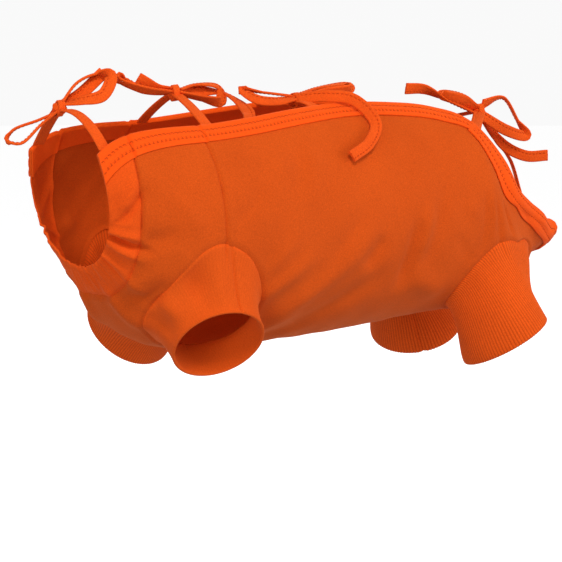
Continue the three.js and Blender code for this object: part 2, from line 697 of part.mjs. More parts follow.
const cornerRow = LOIN_MARKS.length - 1;
const lastRow = rearStretch.rows;
const pushed = (patch, row, shift) => {
  patch[row] = patch[row].map(([at, turn]) => [at + shift, turn]);
  return patch;
};
const bindingRooms = [];
for (const side of [-1, 1]) {
  const name = side < 0 ? "left" : "right";
  const inner = side < 0 ? "right" : "left";
  const outer = name;
  const strip = [
    ...stripOf(neckStretch, 0, neckStretch.rows, side),
    ...stripOf(frontStretch, 0, frontStretch.rows, side),
    ...stripOf(rearStretch, 0, cornerRow, side),
  ];
  const patches = [
    { patch: pushed(strip, strip.length - 1, -half), open: { start: 1, end: 1, [inner]: 2 }, free: [outer] },
  ];
  add(`${name}_back_binding`, fromManifold(binding(patches)), RIB);
  bindingRooms.push(around(patches, BINDING_GAP + BINDING_WALL + GAP, false));
}
const rumpPatches = [-1, 1].map((side) => ({
  patch: pushed(stripOf(rearStretch, cornerRow, lastRow, side), 0, half),
  open: { start: 1, [side < 0 ? "right" : "left"]: 2 },
  free: [side < 0 ? "left" : "right", "end"],
}));
rumpPatches.push({
  patch: patchOf(rearStretch, lastRow - 1, lastRow, 0, COLUMNS), open: { start: 2 }, free: ["left", "right", "end"],
});
add("rump_binding", fromManifold(binding(rumpPatches)), RIB);
bindingRooms.push(around(rumpPatches, BINDING_GAP + BINDING_WALL + GAP, false));

// The stations of a strand: points of a smooth curve through its table, each with its twist
function stations(strand, knot) {
  const places = strand.map(({ x, y, z }) => new THREE.Vector3(x, y, z).multiplyScalar(BOW_SPAN).add(knot));
  const curve = new THREE.CatmullRomCurve3(places);
  const steps = Math.max(4, Math.round(curve.getLength() / STATION_STEP));
  const points = [];
  const twists = [];
  for (let i = 0; i <= steps; i++) {
    const place = (i / steps) * (strand.length - 1);
    const k = Math.min(strand.length - 2, Math.floor(place));
    points.push(curve.getPoint(i / steps));
    twists.push(strand[k].twist + (strand[k + 1].twist - strand[k].twist) * (place - k));
  }
  return { points, twists };
}

// A flat ribbon swept through points, with its twist at each, as a solid
function ribbon(points, twists, base, grow = 0) {
  const positions = [];
  const last = points.length - 1;
  points.forEach((point, i) => {
    const ahead = points[Math.min(last, i + 1)].clone().sub(points[Math.max(0, i - 1)]).normalize();
    const wide = base.clone().addScaledVector(ahead, -base.dot(ahead)).normalize();
    wide.applyAxisAngle(ahead, THREE.MathUtils.degToRad(twists[i]));
    const thick = ahead.clone().cross(wide);
    for (const [a, b] of [[-1, -1], [1, -1], [1, 1], [-1, 1]]) {
      const p = point.clone()
        .addScaledVector(wide, a * (TIE_WIDTH / 2 + grow))
        .addScaledVector(thick, b * (TIE_WALL / 2 + grow));
      positions.push(p.x, p.y, p.z);
    }
  });
  const faces = [0, 2, 1, 0, 3, 2];
  for (let i = 0; i < last; i++) {
    for (let j = 0; j < 4; j++) {
      const a = 4 * i + j;
      const b = 4 * i + ((j + 1) % 4);
      faces.push(a, b, b + 4, a, b + 4, a + 4);
    }
  }
  const e = 4 * last;
  faces.push(e, e + 1, e + 2, e, e + 2, e + 3);
  return toManifold(facingOut(positions, faces));
}

// The lump of a knot, as an egg-shaped solid
function knotLump(middle, grow = 0) {
  const rings = 4;
  const around = 8;
  const size = [0.52, 0.44, 0.42].map((share) => share * KNOT_SIZE + grow);
  const positions = [middle.x, middle.y, middle.z + size[2]];
  for (let i = 1; i < rings; i++) {
    for (let j = 0; j < around; j++) {
      const fall = (Math.PI * i) / rings;
      const turn = (2 * Math.PI * j) / around;
      positions.push(
        middle.x + size[0] * Math.sin(fall) * Math.cos(turn),
        middle.y + size[1] * Math.sin(fall) * Math.sin(turn),
        middle.z + size[2] * Math.cos(fall),
      );
    }
  }
  positions.push(middle.x, middle.y, middle.z - size[2]);
  const bottom = positions.length / 3 - 1;
  const faces = [];
  const at = (i, j) => 1 + (i - 1) * around + (j % around);
  for (let j = 0; j < around; j++) {
    faces.push(0, at(1, j), at(1, j + 1), bottom, at(rings - 1, j + 1), at(rings - 1, j));
    for (let i = 1; i < rings - 1; i++) {
      faces.push(at(i, j), at(i + 1, j), at(i + 1, j + 1), at(i, j), at(i + 1, j + 1), at(i, j + 1));
    }
  }
  return toManifold(facingOut(positions, faces));
}

const LOOP_BASE = new THREE.Vector3(0.5, 0.85, 0).normalize();
for (const tie of TIES) {
  const knot = new THREE.Vector3(
    tie.x * SHIRT_LENGTH, (tie.y * TORSO_WIDTH) / 2, tie.z * TORSO_HEIGHT,
  );
  let bow = knotLump(knot);
  let room = knotLump(knot, GAP);
  for (const strand of tie.strands) {
    const { points, twists } = stations(strand, knot);
    bow = bow.add(ribbon(points, twists, LOOP_BASE));
    room = room.add(ribbon(points, twists, LOOP_BASE, GAP));
  }
  add(`${tie.name}_bow`, fromManifold(bow), RIB);
  for (const side of [-1, 1]) {
    const start = bodyPoint(tie.at, side);
    const way = knot.clone().sub(start).normalize();
    const end = knot.clone().addScaledVector(way, -0.25 * KNOT_SIZE);
    end.y += side * 1.2;
    const rise = (side < 0 ? tie.leftRise : tie.rightRise) * TORSO_HEIGHT;
    const points = [];
    const steps = 5;
    for (let i = 0; i <= steps; i++) {
      const t = i / steps;
      points.push(start.clone().lerp(end, t).add(new THREE.Vector3(0, 0, 4 * rise * t * (1 - t))));
    }
    let strap = ribbon(points, points.map(() => 0), new THREE.Vector3(1, 0, 0));
    for (const solid of [room, ...bindingRooms]) strap = strap.subtract(solid);
    const pieces = strap.decompose().sort((a, b) => b.volume() - a.volume());
    strap = pieces[0];
    add(`${tie.name}_${side < 0 ? "left" : "right"}_strap`, fromManifold(strap), RIB);
  }
}

export default shirt;
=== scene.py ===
import math

import bmesh
import bpy
import numpy as np
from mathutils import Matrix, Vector


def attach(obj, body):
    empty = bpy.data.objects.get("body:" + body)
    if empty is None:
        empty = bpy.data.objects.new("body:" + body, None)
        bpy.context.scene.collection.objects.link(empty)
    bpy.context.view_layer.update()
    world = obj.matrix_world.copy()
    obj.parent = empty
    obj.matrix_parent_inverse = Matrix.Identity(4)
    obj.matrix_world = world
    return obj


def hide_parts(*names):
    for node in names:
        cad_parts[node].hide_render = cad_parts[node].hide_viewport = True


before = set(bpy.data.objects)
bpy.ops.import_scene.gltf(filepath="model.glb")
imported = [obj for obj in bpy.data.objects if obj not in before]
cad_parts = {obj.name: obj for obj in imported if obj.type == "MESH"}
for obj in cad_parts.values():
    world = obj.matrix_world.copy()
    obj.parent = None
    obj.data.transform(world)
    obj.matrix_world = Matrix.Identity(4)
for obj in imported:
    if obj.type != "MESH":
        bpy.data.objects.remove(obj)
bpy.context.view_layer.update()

# Driving sizes in mm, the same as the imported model's
SHIRT_LENGTH = 500.0
TORSO_WIDTH = 176.0
TORSO_HEIGHT = 196.0
HALF_GIRTH = 250.0
JERSEY_WALL = 1.6
RIB_WALL = 2.0
BINDING_WIDTH = 14.0
BINDING_WALL = 1.2
BINDING_GAP = 0.36
TIE_WIDTH = 10.0
TIE_WALL = 2.0
BOW_SPAN = 100.0
KNOT_SIZE = 13.0
GATHER_DEPTH = 2.2
GATHERS = 13
TUCK_WIDTH = 22.0
MIDDLE = 0.47  # the origin's place along the shirt, as a share of its length
CORNER = 0.742  # where the back bindings end and the rump's begins, as such a share

# Sizes in mm that only the finished shirt has
SEAM_DEPTH = 1.0  # of the groove where a sleeve is sewn on
SEAM_LAP = 0.4  # how far a panel reaches over a sleeve's seam
PANEL_SEAM_DEPTH = 1.5  # of the groove between two panels
GROOVE_DEPTH = 1.2  # of the seam down a sleeve
UNEVEN_HEIGHT = 0.35  # of the faint waves all over the cloth
NECK_PUFF = 1.5  # how far the neck band stands out between its edges
NECK_ROLL = 0.9  # how far the neck band's rolled edge stands out
EDGE_RISE = 1.8  # how far the rump's edge stands up
EDGE_SINK = 6.5  # how far the cloth beside that edge sinks

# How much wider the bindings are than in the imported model, the rump's at its widest
BACK_WIDEN = 18.0 / BINDING_WIDTH
RUMP_WIDEN = 20.0 / BINDING_WIDTH

MM = 0.001
SIDES = {"left": -1, "right": 1}

# Sections of the body, as shares of its length, width and height
SECTION_COLUMNS = ("at", "half", "side", "low", "top", "edge", "lean", "bow", "tuck")
SECTIONS = np.array([
    (-0.013, 0.64, 0.36, 0.64, -0.02, 0.57, 0.165, 0, 0),
    (0.06, 0.82, 0.42, 0.87, -0.01, 0.57, 0.08, 0, 0),
    (0.125, 0.93, 0.45, 0.96, 0, 0.57, 0.03, 0, 0),
    (0.19, 0.98, 0.46, 0.995, 0.005, 0.565, 0.01, 0, 0),
    (0.28, 1, 0.47, 1, -0.012, 0.545, 0, 0, 0),
    (0.38, 1, 0.47, 0.995, -0.028, 0.49, 0, 0, 0),
    (0.48, 0.99, 0.47, 0.98, -0.03, 0.42, 0, 0, 0),
    (0.58, 0.97, 0.46, 0.96, -0.025, 0.41, 0, 0, 0),
    (0.67, 0.94, 0.455, 0.955, -0.01, 0.44, 0, 0, 0.05),
    (0.744, 0.91, 0.44, 0.965, 0.04, 0.525, 0, 0, 0.13),
    (0.79, 0.86, 0.45, 0.96, 0.175, 0.675, 0, 0, 0.15),
    (0.816, 0.81, 0.47, 0.94, 0.33, 0.69, 0, 0, 0.14),
    (0.862, 0.67, 0.52, 0.87, 0.42, 0.58, 0, 0, 0.09),
    (0.906, 0.54, 0.57, 0.79, 0.47, 0.48, 0, 0.003, 0.03),
    (0.942, 0.37, 0.61, 0.71, 0.515, 0.32, 0, 0.01, 0),
    (0.966, 0.25, 0.585, 0.62, 0.555, 0.235, 0, 0.018, 0),
])
FIRST, LAST = SECTIONS[0, 0], SECTIONS[-1, 0]

# Sleeve seams on the left side: shares along the shirt and around the flank
FRONT_SEAM = np.array([
    (0.186, 0.562), (0.15, 0.545), (0.119, 0.48), (0.095, 0.4), (0.078, 0.3), (0.078, 0.213), (0.101, 0.145),
    (0.145, 0.1), (0.2, 0.09), (0.245, 0.14), (0.268, 0.24), (0.272, 0.34), (0.264, 0.43), (0.234, 0.518),
])
REAR_SEAM = np.array([
    (0.832, 0.59), (0.797, 0.568), (0.765, 0.508), (0.731, 0.435), (0.706, 0.365), (0.692, 0.275), (0.7, 0.2),
    (0.735, 0.16), (0.785, 0.155), (0.835, 0.185), (0.873, 0.28), (0.888, 0.42), (0.882, 0.555), (0.862, 0.6),
])

# Sleeves: the rim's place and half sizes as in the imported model, and the pitch and depth of the ribs in mm.
# groove: the turns of the long seam at both ends. folds: turn, share of the way down, both half widths, mm.
SLEEVES = {
    "front_sleeve": dict(
        seam=FRONT_SEAM, x=-0.27, out=0.753, down=0.951, long=0.208, wide=0.2, splay=49, pitch=-9,
        reach=0.75, rib_pitch=2.0, rib_depth={-1: 0.05, 1: 0.28}, groove=(0.985, 0.94), folds=[
            (0.25, 0.32, 0.03, 0.34, 4.5), (0.13, 0.4, 0.05, 0.3, -6), (0.33, 0.45, 0.035, 0.35, -2),
            (0.9, 0.5, 0.05, 0.4, 1.6), (0.03, 0.6, 0.05, 0.3, 1.8),
        ], cut=(0.21, 0.08), area=0.0105,
    ),
    "rear_cuff": dict(
        seam=REAR_SEAM, x=0.33, out=0.7, down=1.052, long=0.205, wide=0.235, splay=15, pitch=28,
        reach=0.6, rib_pitch=2.3, rib_depth={-1: 0.42, 1: 0.42}, groove=(0.5, 0.5), folds=[
            (0.1, 0.3, 0.05, 0.4, 0.8), (0.8, 0.5, 0.06, 0.4, -0.8),
        ], cut=(0.23, 0.1), area=0.016,
    ),
}

# Folds of both flanks: from a place to another, then the half width and the height in mm. The fourth and the
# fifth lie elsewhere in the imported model.
FOLDS = [
    (0.3, 0.27, 0.47, 0.52, 9, 3.6),
    (0.266, 0.37, 0.36, 0.5, 7, 3),
    (0.36, 0.22, 0.52, 0.4, 10, -3.2),
    (0.556, 0.34, 0.571, 0.545, 7, -5),
    (0.474, 0.43, 0.498, 0.515, 8, -3.4),
    (0.6, 0.42, 0.63, 0.66, 9, -3),
    (0.582, 0.45, 0.598, 0.6, 8, 3),
    (0.58, 0.36, 0.66, 0.3, 12, 4),
    (0.04, 0.55, 0.1, 0.6, 8, -3),
    (0.06, 0.3, 0.13, 0.36, 9, -3),
    (0.02, 0.12, 0.09, 0.2, 11, 4),
]

# Ties: where the straps leave the edges, the knot, how far the left and right straps rise, and the strands as
# offsets from the knot in shares of the bow's span, with the twist in degrees
TIES = {
    "neck_tie": dict(at=0.003, knot=(-0.478, 0, -0.005), rise=(0.045, 0.008), strands=[
        [(0.02, 0, 0.03, 0), (0.17, -0.08, 0.06, 40), (0.33, -0.11, 0.1, 90), (0.45, -0.03, 0.25, 80),
         (0.39, 0.08, 0.26, 0), (0.22, 0.08, 0.2, 0), (0.01, 0, 0.03, 0)],
        [(0.04, 0.03, 0.03, 20), (0.24, 0.09, 0.1, 80), (0.46, 0.09, 0.27, 90)],
        [(-0.03, 0, -0.03, 0), (-0.14, 0.08, -0.09, 0), (-0.35, 0.1, -0.16, 0), (-0.46, 0, -0.24, 0),
         (-0.4, -0.08, -0.26, 0), (-0.18, -0.03, -0.12, 0), (-0.03, 0, -0.03, 0)],
    ]),
    "shoulder_tie": dict(at=0.204, knot=(-0.264, 0, 0.046), rise=(0.01, 0.01), strands=[
        [(-0.02, 0.02, 0.02, 30), (-0.14, 0.03, 0.03, 60), (-0.24, 0.04, 0.08, 80), (-0.32, 0.04, 0.12, 90)],
        [(-0.03, 0, 0, 20), (-0.31, -0.04, 0.03, 40), (-0.52, 0, 0.11, 20), (-0.47, 0.08, 0.14, 0),
         (-0.23, 0.08, 0.04, 0), (-0.03, 0, 0.01, 0)],
        [(0.03, 0, 0.02, 0), (0.25, 0.05, 0.06, 0), (0.47, 0.06, 0.03, 20), (0.45, 0, -0.07, 80),
         (0.26, -0.05, -0.05, 30), (0.02, -0.02, 0, 20)],
        [(0.05, 0.03, 0.01, 20), (0.3, 0.08, 0.01, 60), (0.51, 0.07, -0.01, 0), (0.58, -0.03, -0.07, 20),
         (0.54, -0.26, -0.16, 80), (0.47, -0.38, -0.21, 90)],
    ]),
    "middle_tie": dict(at=0.43, knot=(-0.042, -0.136, 0.005), rise=(0.008, 0.02), strands=[
        [(-0.04, 0.02, 0.04, 0), (-0.27, 0.09, 0.07, 0), (-0.49, 0.06, 0.09, 30), (-0.42, -0.04, 0.02, 50),
         (-0.24, -0.06, 0, 40), (-0.03, -0.02, 0.02, 20)],
        [(0.03, 0, 0.05, 0), (0.32, 0.08, 0.1, 0), (0.56, 0.05, 0.12, 20), (0.51, -0.07, 0.09, 50),
         (0.22, -0.11, 0.06, 60), (0.01, -0.03, 0.02, 20)],
        [(-0.01, -0.06, 0.02, 50), (0.14, -0.23, 0.04, 80), (0.33, -0.36, 0.01, 90), (0.43, -0.52, -0.17, 90),
         (0.27, -0.65, -0.33, 90), (0.05, -0.71, -0.43, 90)],
    ]),
    "rump_tie": dict(at=0.752, knot=(0.370, 0, -0.066), rise=(0, 0), strands=[
        [(-0.08, 0, 0, 0), (-0.36, 0.02, 0.11, 0), (-0.57, 0.05, 0.2, 60), (-0.77, 0.05, 0.21, 80)],
        [(-0.04, -0.01, 0.02, 60), (-0.22, -0.04, 0.1, 80), (-0.41, -0.01, 0.15, 60), (-0.33, 0.05, 0.17, 20),
         (-0.08, 0.08, 0.13, 0), (0.02, 0.02, 0.03, 0)],
        [(0.03, -0.02, -0.04, 60), (0.26, -0.07, -0.17, 90), (0.53, -0.02, -0.22, 60), (0.51, 0.07, -0.1, 0),
         (0.35, 0.07, 0.1, 0), (0.04, 0, 0.06, 60)],
        [(0.02, 0.01, -0.02, 30), (0.2, 0.05, -0.19, 40), (0.38, 0.06, -0.33, 80), (0.57, 0.02, -0.41, 90),
         (0.8, 0, -0.41, 90)],
        [(0.02, 0.02, -0.02, 20), (0.27, 0.16, -0.21, 10), (0.59, 0.26, -0.46, 0), (0.73, 0.29, -0.74, 0)],
    ]),
}

# The camera, at the photograph's angle
AZIMUTH = math.radians(-35.5)
ELEVATION = math.radians(6.0)
CAMERA_DISTANCE = 2.2
CAMERA_TARGET = Vector((0, 0.038, -0.154))
SENSOR = 36.0
CAMERA_CLIP = (0.01, 50)
PICTURE_PIXELS = 562
PIXEL_SIZE = 0.85  # in mm
FRAME_WIDTH = PICTURE_PIXELS * PIXEL_SIZE * MM  # what the frame covers at the target, in metres


def add_object(name, data):
    made = bpy.data.objects.new(name, data)
    bpy.context.collection.objects.link(made)
    return made


def aim(thing, place, way):
    """Puts a camera or a light at a place and turns it to look along a way."""
    thing.location = place
    thing.rotation_mode = "QUATERNION"
    thing.rotation_quaternion = way.to_track_quat("-Z", "Y")


level = math.cos(ELEVATION)
back = Vector((math.sin(AZIMUTH) * level, -math.cos(AZIMUTH) * level, math.sin(ELEVATION)))
data = bpy.data.cameras.new("camera")
data.sensor_width = SENSOR
data.sensor_fit = "HORIZONTAL"
data.lens = SENSOR * CAMERA_DISTANCE / FRAME_WIDTH
data.clip_start, data.clip_end = CAMERA_CLIP
camera = add_object("camera", data)
aim(camera, CAMERA_TARGET + back * CAMERA_DISTANCE, -back)
bpy.context.scene.camera = camera


def smooth_step(t, start, leaving, end, arriving):
    """From start to end as t runs from 0 to 1, with a slope at each."""
    return (
        start * (2 * t**3 - 3 * t**2 + 1) + leaving * (t**3 - 2 * t**2 + t)
        + end * (3 * t**2 - 2 * t**3) + arriving * (t**3 - t**2)
    )


def distance_along(lines):
    """How far along its line each point lies. A line runs down the first axis."""
    steps = np.linalg.norm(np.diff(lines, axis=0), axis=-1)
    return np.concatenate([np.zeros((1, *steps.shape[1:])), np.cumsum(steps, axis=0)])


# The body's surface, for arrays of places along and around it. Points are in mm until they reach a mesh.
def column(name, at):
    """The smooth value of one column of the sections at places along the body."""
    place = SECTIONS[:, 0]
    value = SECTIONS[:, SECTION_COLUMNS.index(name)]
    last = len(place) - 1
    low = np.maximum(np.arange(last + 1) - 1, 0)
    high = np.minimum(np.arange(last + 1) + 1, last)
    slope = (value[high] - value[low]) / (place[high] - place[low])
    i = np.clip(np.searchsorted(place, at, side="left") - 1, 0, last - 1)
    span = place[i + 1] - place[i]
    t = np.clip((at - place[i]) / span, 0, 1)
    return smooth_step(t, value[i], span * slope[i], value[i + 1], span * slope[i + 1])


def as_places(at, around):
    return np.broadcast_arrays(np.asarray(at, float), np.asarray(around, float))


def body_point(at, around):
    at, around = as_places(at, around)
    half = column("half", at) * TORSO_WIDTH / 2
    edge = column("edge", at) * TORSO_WIDTH / 2
    side = -column("side", at) * TORSO_HEIGHT
    low = -column("low", at) * TORSO_HEIGHT
    top = -column("top", at) * TORSO_HEIGHT
    full = np.pi - np.arcsin(np.minimum(0.999, edge / half))
    angle = np.abs(around) * full
    y = half * np.sin(angle) * np.sign(around)
    below = angle < np.pi / 2
    z = np.where(below, side + (low - side) * np.cos(angle), side - (top - side) * np.cos(angle))
    x = (at - MIDDLE + column("bow", at) * (1 - around**2)) * SHIRT_LENGTH - column("lean", at) * z
    tuck = column("tuck", at) * TORSO_HEIGHT * np.exp(-((y / TUCK_WIDTH) ** 2))
    return np.stack([x, y, np.where(below, z + tuck, z)], -1)


def unit(vectors):
    return vectors / np.maximum(np.linalg.norm(vectors, axis=-1, keepdims=True), 1e-9)


def body_normal(at, around):
    """The way outwards from the body at places on it."""
    step = 0.002
    at, around = as_places(at, around)
    ahead = body_point(np.minimum(LAST, at + step), around) - body_point(np.maximum(FIRST, at - step), around)
    across = body_point(at, np.minimum(1, around + step)) - body_point(at, np.maximum(-1, around - step))
    return unit(np.cross(across, ahead))


def neck_seam(around):
    return 0.022 + 0.026 * np.abs(around)


def side_seam(around):
    up = np.maximum(0, (np.abs(around) - 0.45) / 0.55)
    return 0.19 - 0.009 * (1 - (1 - up) ** 1.6)


GIRTH_AT = np.linspace(FIRST, LAST, 400)
GIRTH = distance_along(body_point(GIRTH_AT, np.linspace(0, 1, 49)[:, None]))[-1]


def girth(at):
    """Half the girth at places along the body."""
    return np.interp(at, GIRTH_AT, GIRTH)


def bump_line(distance, width):
    return np.exp(-((distance / width) ** 2))


def closed_curve(table, turn):
    """Places on a smooth closed curve through a table's rows. turn runs once around it."""
    count = len(table)
    place = (np.asarray(turn, float) % 1) * count
    i = np.floor(place).astype(int)
    t = (place - i)[..., None]
    a, b, c, d = (table[(i + k) % count] for k in (-1, 0, 1, 2))
    return 0.5 * (2 * b + (c - a) * t + (2 * a - 5 * b + 4 * c - d) * t**2 + (3 * b - a - 3 * c + d) * t**3)


def seam_loop(seam, side):
    """A sleeve's seam as a closed loop of flat points, in mm."""
    loop = closed_curve(seam, np.arange(160) / 160)
    return np.stack([loop[:, 0] * SHIRT_LENGTH, side * loop[:, 1] * HALF_GIRTH], -1)


def path_distance(points, path):
    """Distance of flat points from an open line."""
    best = np.full(len(points), np.inf)
    for a, b in zip(path[:-1], path[1:]):
        way = b - a
        t = np.clip(((points - a) @ way) / (way @ way), 0, 1)
        best = np.minimum(best, np.linalg.norm(points - a - t[:, None] * way, axis=1))
    return best


def loop_distance(points, loop):
    """Signed distance of flat points from a closed loop: positive outside it."""
    inside = np.zeros(len(points), bool)
    for a, b in zip(loop, np.roll(loop, -1, axis=0)):
        if b[1] != a[1]:
            crosses = (a[1] > points[:, 1]) != (b[1] > points[:, 1])
            share = (points[:, 1] - a[1]) / (b[1] - a[1])
            inside ^= crosses & (points[:, 0] < a[0] + share * (b[0] - a[0]))
    distance = path_distance(points, np.concatenate([loop, loop[:1]]))
    return np.where(inside, -distance, distance)


# The rump's edge, flat: down one side, around the rounded tip and up the other side
TIP_ROUND = 26.0
TIP_X = LAST * SHIRT_LENGTH - TIP_ROUND
RUMP_SIDE_STATIONS = 150


def tip_corner():
    """How far across the circle that rounds the tip's corner lies, and the turn where it meets the side."""
    x = np.linspace(CORNER, LAST, 2000) * SHIRT_LENGTH
    y = girth(x / SHIRT_LENGTH)
    low, high = 0.0, 60.0
    for _ in range(40):
        middle = (low + high) / 2
        if np.hypot(x - TIP_X, y - middle).min() > TIP_ROUND:
            low = middle
        else:
            high = middle
    nearest = np.argmin(np.hypot(x - TIP_X, y - low))
    return low, math.atan2(x[nearest] - TIP_X, y[nearest] - low)


TIP_Y, TIP_TURN = tip_corner()


def rump_edge():
    """Flat places of the edge behind the rump tie's corners, and the way inwards from each."""
    count_arc, count_tip = 12, 24
    meets = TIP_X + TIP_ROUND * math.sin(TIP_TURN)
    x = np.linspace(CORNER * SHIRT_LENGTH, meets, RUMP_SIDE_STATIONS)
    side = np.stack([x, girth(x / SHIRT_LENGTH)], -1)
    turn = np.linspace(TIP_TURN, np.pi / 2, count_arc + 1)[1:]
    arc = np.stack([TIP_X + TIP_ROUND * np.sin(turn), TIP_Y + TIP_ROUND * np.cos(turn)], -1)
    across = np.linspace(TIP_Y, -TIP_Y, count_tip + 2)[1:-1]
    tip = np.stack([np.full(count_tip, TIP_X + TIP_ROUND), across], -1)
    path = np.concatenate([side, arc, tip, arc[::-1] * (1, -1), side[::-1] * (1, -1)])
    ahead = np.gradient(path, axis=0)
    return path, unit(np.stack([ahead[:, 1], -ahead[:, 0]], -1))


RUMP_PATH, RUMP_INWARD = rump_edge()
HOLES = [seam_loop(seam, side) for seam in (FRONT_SEAM, REAR_SEAM) for side in (-1, 1)]


def hole_distance(at, around):
    """How far places lie from the nearest sleeve seam, in mm. Negative inside a sleeve's hole."""
    flat = np.stack([np.ravel(at) * SHIRT_LENGTH, np.ravel(around) * HALF_GIRTH], -1)
    distance = np.full(len(flat), np.inf)
    for loop in HOLES:
        low, high = loop.min(0) - 20, loop.max(0) + 20
        near = np.all((flat > low) & (flat < high), axis=1)
        distance[near] = np.minimum(distance[near], loop_distance(flat[near], loop))
    return distance.reshape(np.shape(at))


# Small wrinkles of the finished cloth alone, in a table like that of the folds
WRINKLES = [
    (-0.03, 0.512, 0.055, 0.522, 4.5, -5.5),
    (-0.03, 0.36, 0.07, 0.33, 7, 2.2),
    (-0.04, 0.3, 0.025, 0.33, 7, -2.4),
    (-0.04, 0.2, 0.05, 0.16, 7, 1.8),
    (-0.04, 0.14, 0.02, 0.18, 5, -2),
    (-0.01, 0.565, 0.04, 0.57, 5, 2.6),
    (-0.01, 0.465, 0.045, 0.475, 5, 2.2),
    (0.0, 0.62, 0.048, 0.77, 4, -3.4),
    (0.01, 0.7, 0.04, 0.82, 5, 1.8),
    (0.04, 0.24, 0.09, 0.42, 4, -2.6),
    (0.03, 0.3, 0.07, 0.46, 5, 1.6),
    (0.722, 0.66, 0.722, 0.47, 3.2, -1.6),
    (0.738, 0.64, 0.742, 0.5, 3.2, 1.4),
    (0.745, 0.64, 0.766, 0.5, 3.2, -1.8),
    (0.77, 0.66, 0.795, 0.6, 3.2, -1.6),
    (0.7, 0.56, 0.68, 0.62, 6, 1.2),
    (0.7, 0.42, 0.66, 0.5, 6, -1.4),
    (0.27, 0.46, 0.32, 0.56, 6, 1.4),
    (0.28, 0.2, 0.36, 0.3, 7, 2),
    (0.3, 0.14, 0.4, 0.22, 8, -2),
    (0.35, 0.9, 0.333, 0.7, 9, -2.4),
    (0.375, 0.88, 0.36, 0.7, 9, 1.4),
    (0.4, 0.5, 0.46, 0.6, 7, -1.2),
    (0.2, 0.62, 0.26, 0.72, 7, -1.2),
    (0.14, 0.6, 0.11, 0.72, 7, 1.2),
]


def fold_height(table, at, flank):
    """How high the folds of a table rise at places of one flank."""
    height = 0
    for from_at, from_around, to_at, to_around, wide, high in table:
        ax = (to_at - from_at) * SHIRT_LENGTH
        ay = (to_around - from_around) * HALF_GIRTH
        px = (at - from_at) * SHIRT_LENGTH
        py = (flank - from_around) * HALF_GIRTH
        t = (px * ax + py * ay) / (ax**2 + ay**2)
        off = (px * ay - py * ax) / math.hypot(ax, ay)
        height = height + high * np.exp(-((2 * (t - 0.5)) ** 4)) * bump_line(off, wide)
    return height


def cloth_height(at, around):
    """How far the cloth stands off the smooth body: folds, gathers, wrinkles and seams."""
    at, around = as_places(at, around)
    flank = np.abs(around)
    slack = 0.35 + 0.65 / (1 + np.exp(40 * around))  # the far side is drawn smoother
    height = fold_height(FOLDS, at, flank) + slack * fold_height(WRINKLES, at, flank)
    wave = np.sin(at * 61 + 3 * around) * np.sin(around * 17 + at * 23)
    height = height + UNEVEN_HEIGHT * (wave + 0.5 * np.sin(at * 103 - around * 41))
    free = np.clip(((1 - flank) * HALF_GIRTH - 24) / 25, 0, 1)
    near = np.clip((neck_seam(around) - at) / 0.02, -1, 1)
    gathered = 0.25 + 0.75 * np.clip((0.66 - flank) / 0.25, 0, 1)
    sway = 0.3 * np.sin(9 * around + 1) + 0.18 * np.sin(23 * around)
    pleat = 0.5 - 0.5 * np.cos(2 * np.pi * (GATHERS * around + sway))
    pleat = pleat * (0.75 + 0.35 * np.sin(13 * around + 2)) + 0.18 * np.sin(2 * np.pi * 31 * around + at * 40)
    inside_band = np.clip(near, 0, 1)
    share = np.clip((at - FIRST) / (neck_seam(around) - FIRST), 0, 1)
    height = height + NECK_PUFF * np.sin(np.pi * share)
    beyond = np.clip(1 + near, 0, 1) ** 2 * (near < 0)
    height = height - 0.65 * GATHER_DEPTH * gathered * pleat * (inside_band + 0.25 * beyond)
    seams = 0
    for past in (at - neck_seam(around), at - side_seam(around)):
        past = past * SHIRT_LENGTH
        seams = seams + PANEL_SEAM_DEPTH * bump_line(past, 1.2) - 0.6 * bump_line(past - 3.2, 1.8)
    past = hole_distance(at, around)
    seams = seams + SEAM_DEPTH * bump_line(past, 1.6) - 0.4 * bump_line(past - 3.8, 2.0)
    rolled = NECK_ROLL * bump_line((at - FIRST) * SHIRT_LENGTH - 1.5, 2.2)
    return free * (height + rolled) + rump_flare(at, around) - seams


def rump_flare(at, around):
    """The rump's edge stands up a little, and the cloth beside it sinks, because the edge pulls."""
    past = np.clip((at - CORNER + 0.01) / 0.05, 0, 1)
    depth = np.full(np.shape(at), 100.0)
    near = past > 0
    flat = np.stack([at[near] * SHIRT_LENGTH, around[near] * girth(at[near])], -1)
    depth[near] = path_distance(flat, RUMP_PATH)
    return past * (EDGE_RISE * bump_line(depth, 8.0) - EDGE_SINK * bump_line(depth - 20.0, 11.0))


def cloth_point(at, around, height=0.0):
    """Points at a height over the cloth's outer face. Its inner face lies on the body."""
    rise = cloth_height(at, around) + JERSEY_WALL + height
    return body_point(at, around) + body_normal(at, around) * rise[..., None]


# Meshes
def make_object(name, points, faces, uvs, material, sharp=50):
    """points in mm, faces as lists of points, uvs as one pair for each point or for each corner of a face."""
    mesh = bpy.data.meshes.new(name)
    mesh.from_pydata((np.asarray(points) * MM).tolist(), [], [tuple(map(int, face)) for face in faces])
    mesh.update()
    layer = mesh.uv_layers.new(name="weave")
    uvs = np.asarray(uvs, float)
    if len(uvs) == len(mesh.vertices):
        corner = np.empty(len(mesh.loops), int)
        mesh.loops.foreach_get("vertex_index", corner)
        uvs = uvs[corner]
    layer.data.foreach_set("uv", uvs.ravel())
    mesh.materials.append(material)
    solid = bmesh.new()
    solid.from_mesh(mesh)
    bmesh.ops.recalc_face_normals(solid, faces=solid.faces)
    solid.to_mesh(mesh)
    solid.free()
    mesh.polygons.foreach_set("use_smooth", [True] * len(mesh.polygons))
    mesh.set_sharp_from_angle(angle=math.radians(sharp))
    return add_object(name, mesh)


def start_parts():
    return {"points": [], "faces": [], "uvs": []}


def finish_piece(piece, nodes):
    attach(piece, "root")
    if nodes:
        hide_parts(*nodes)
    return piece


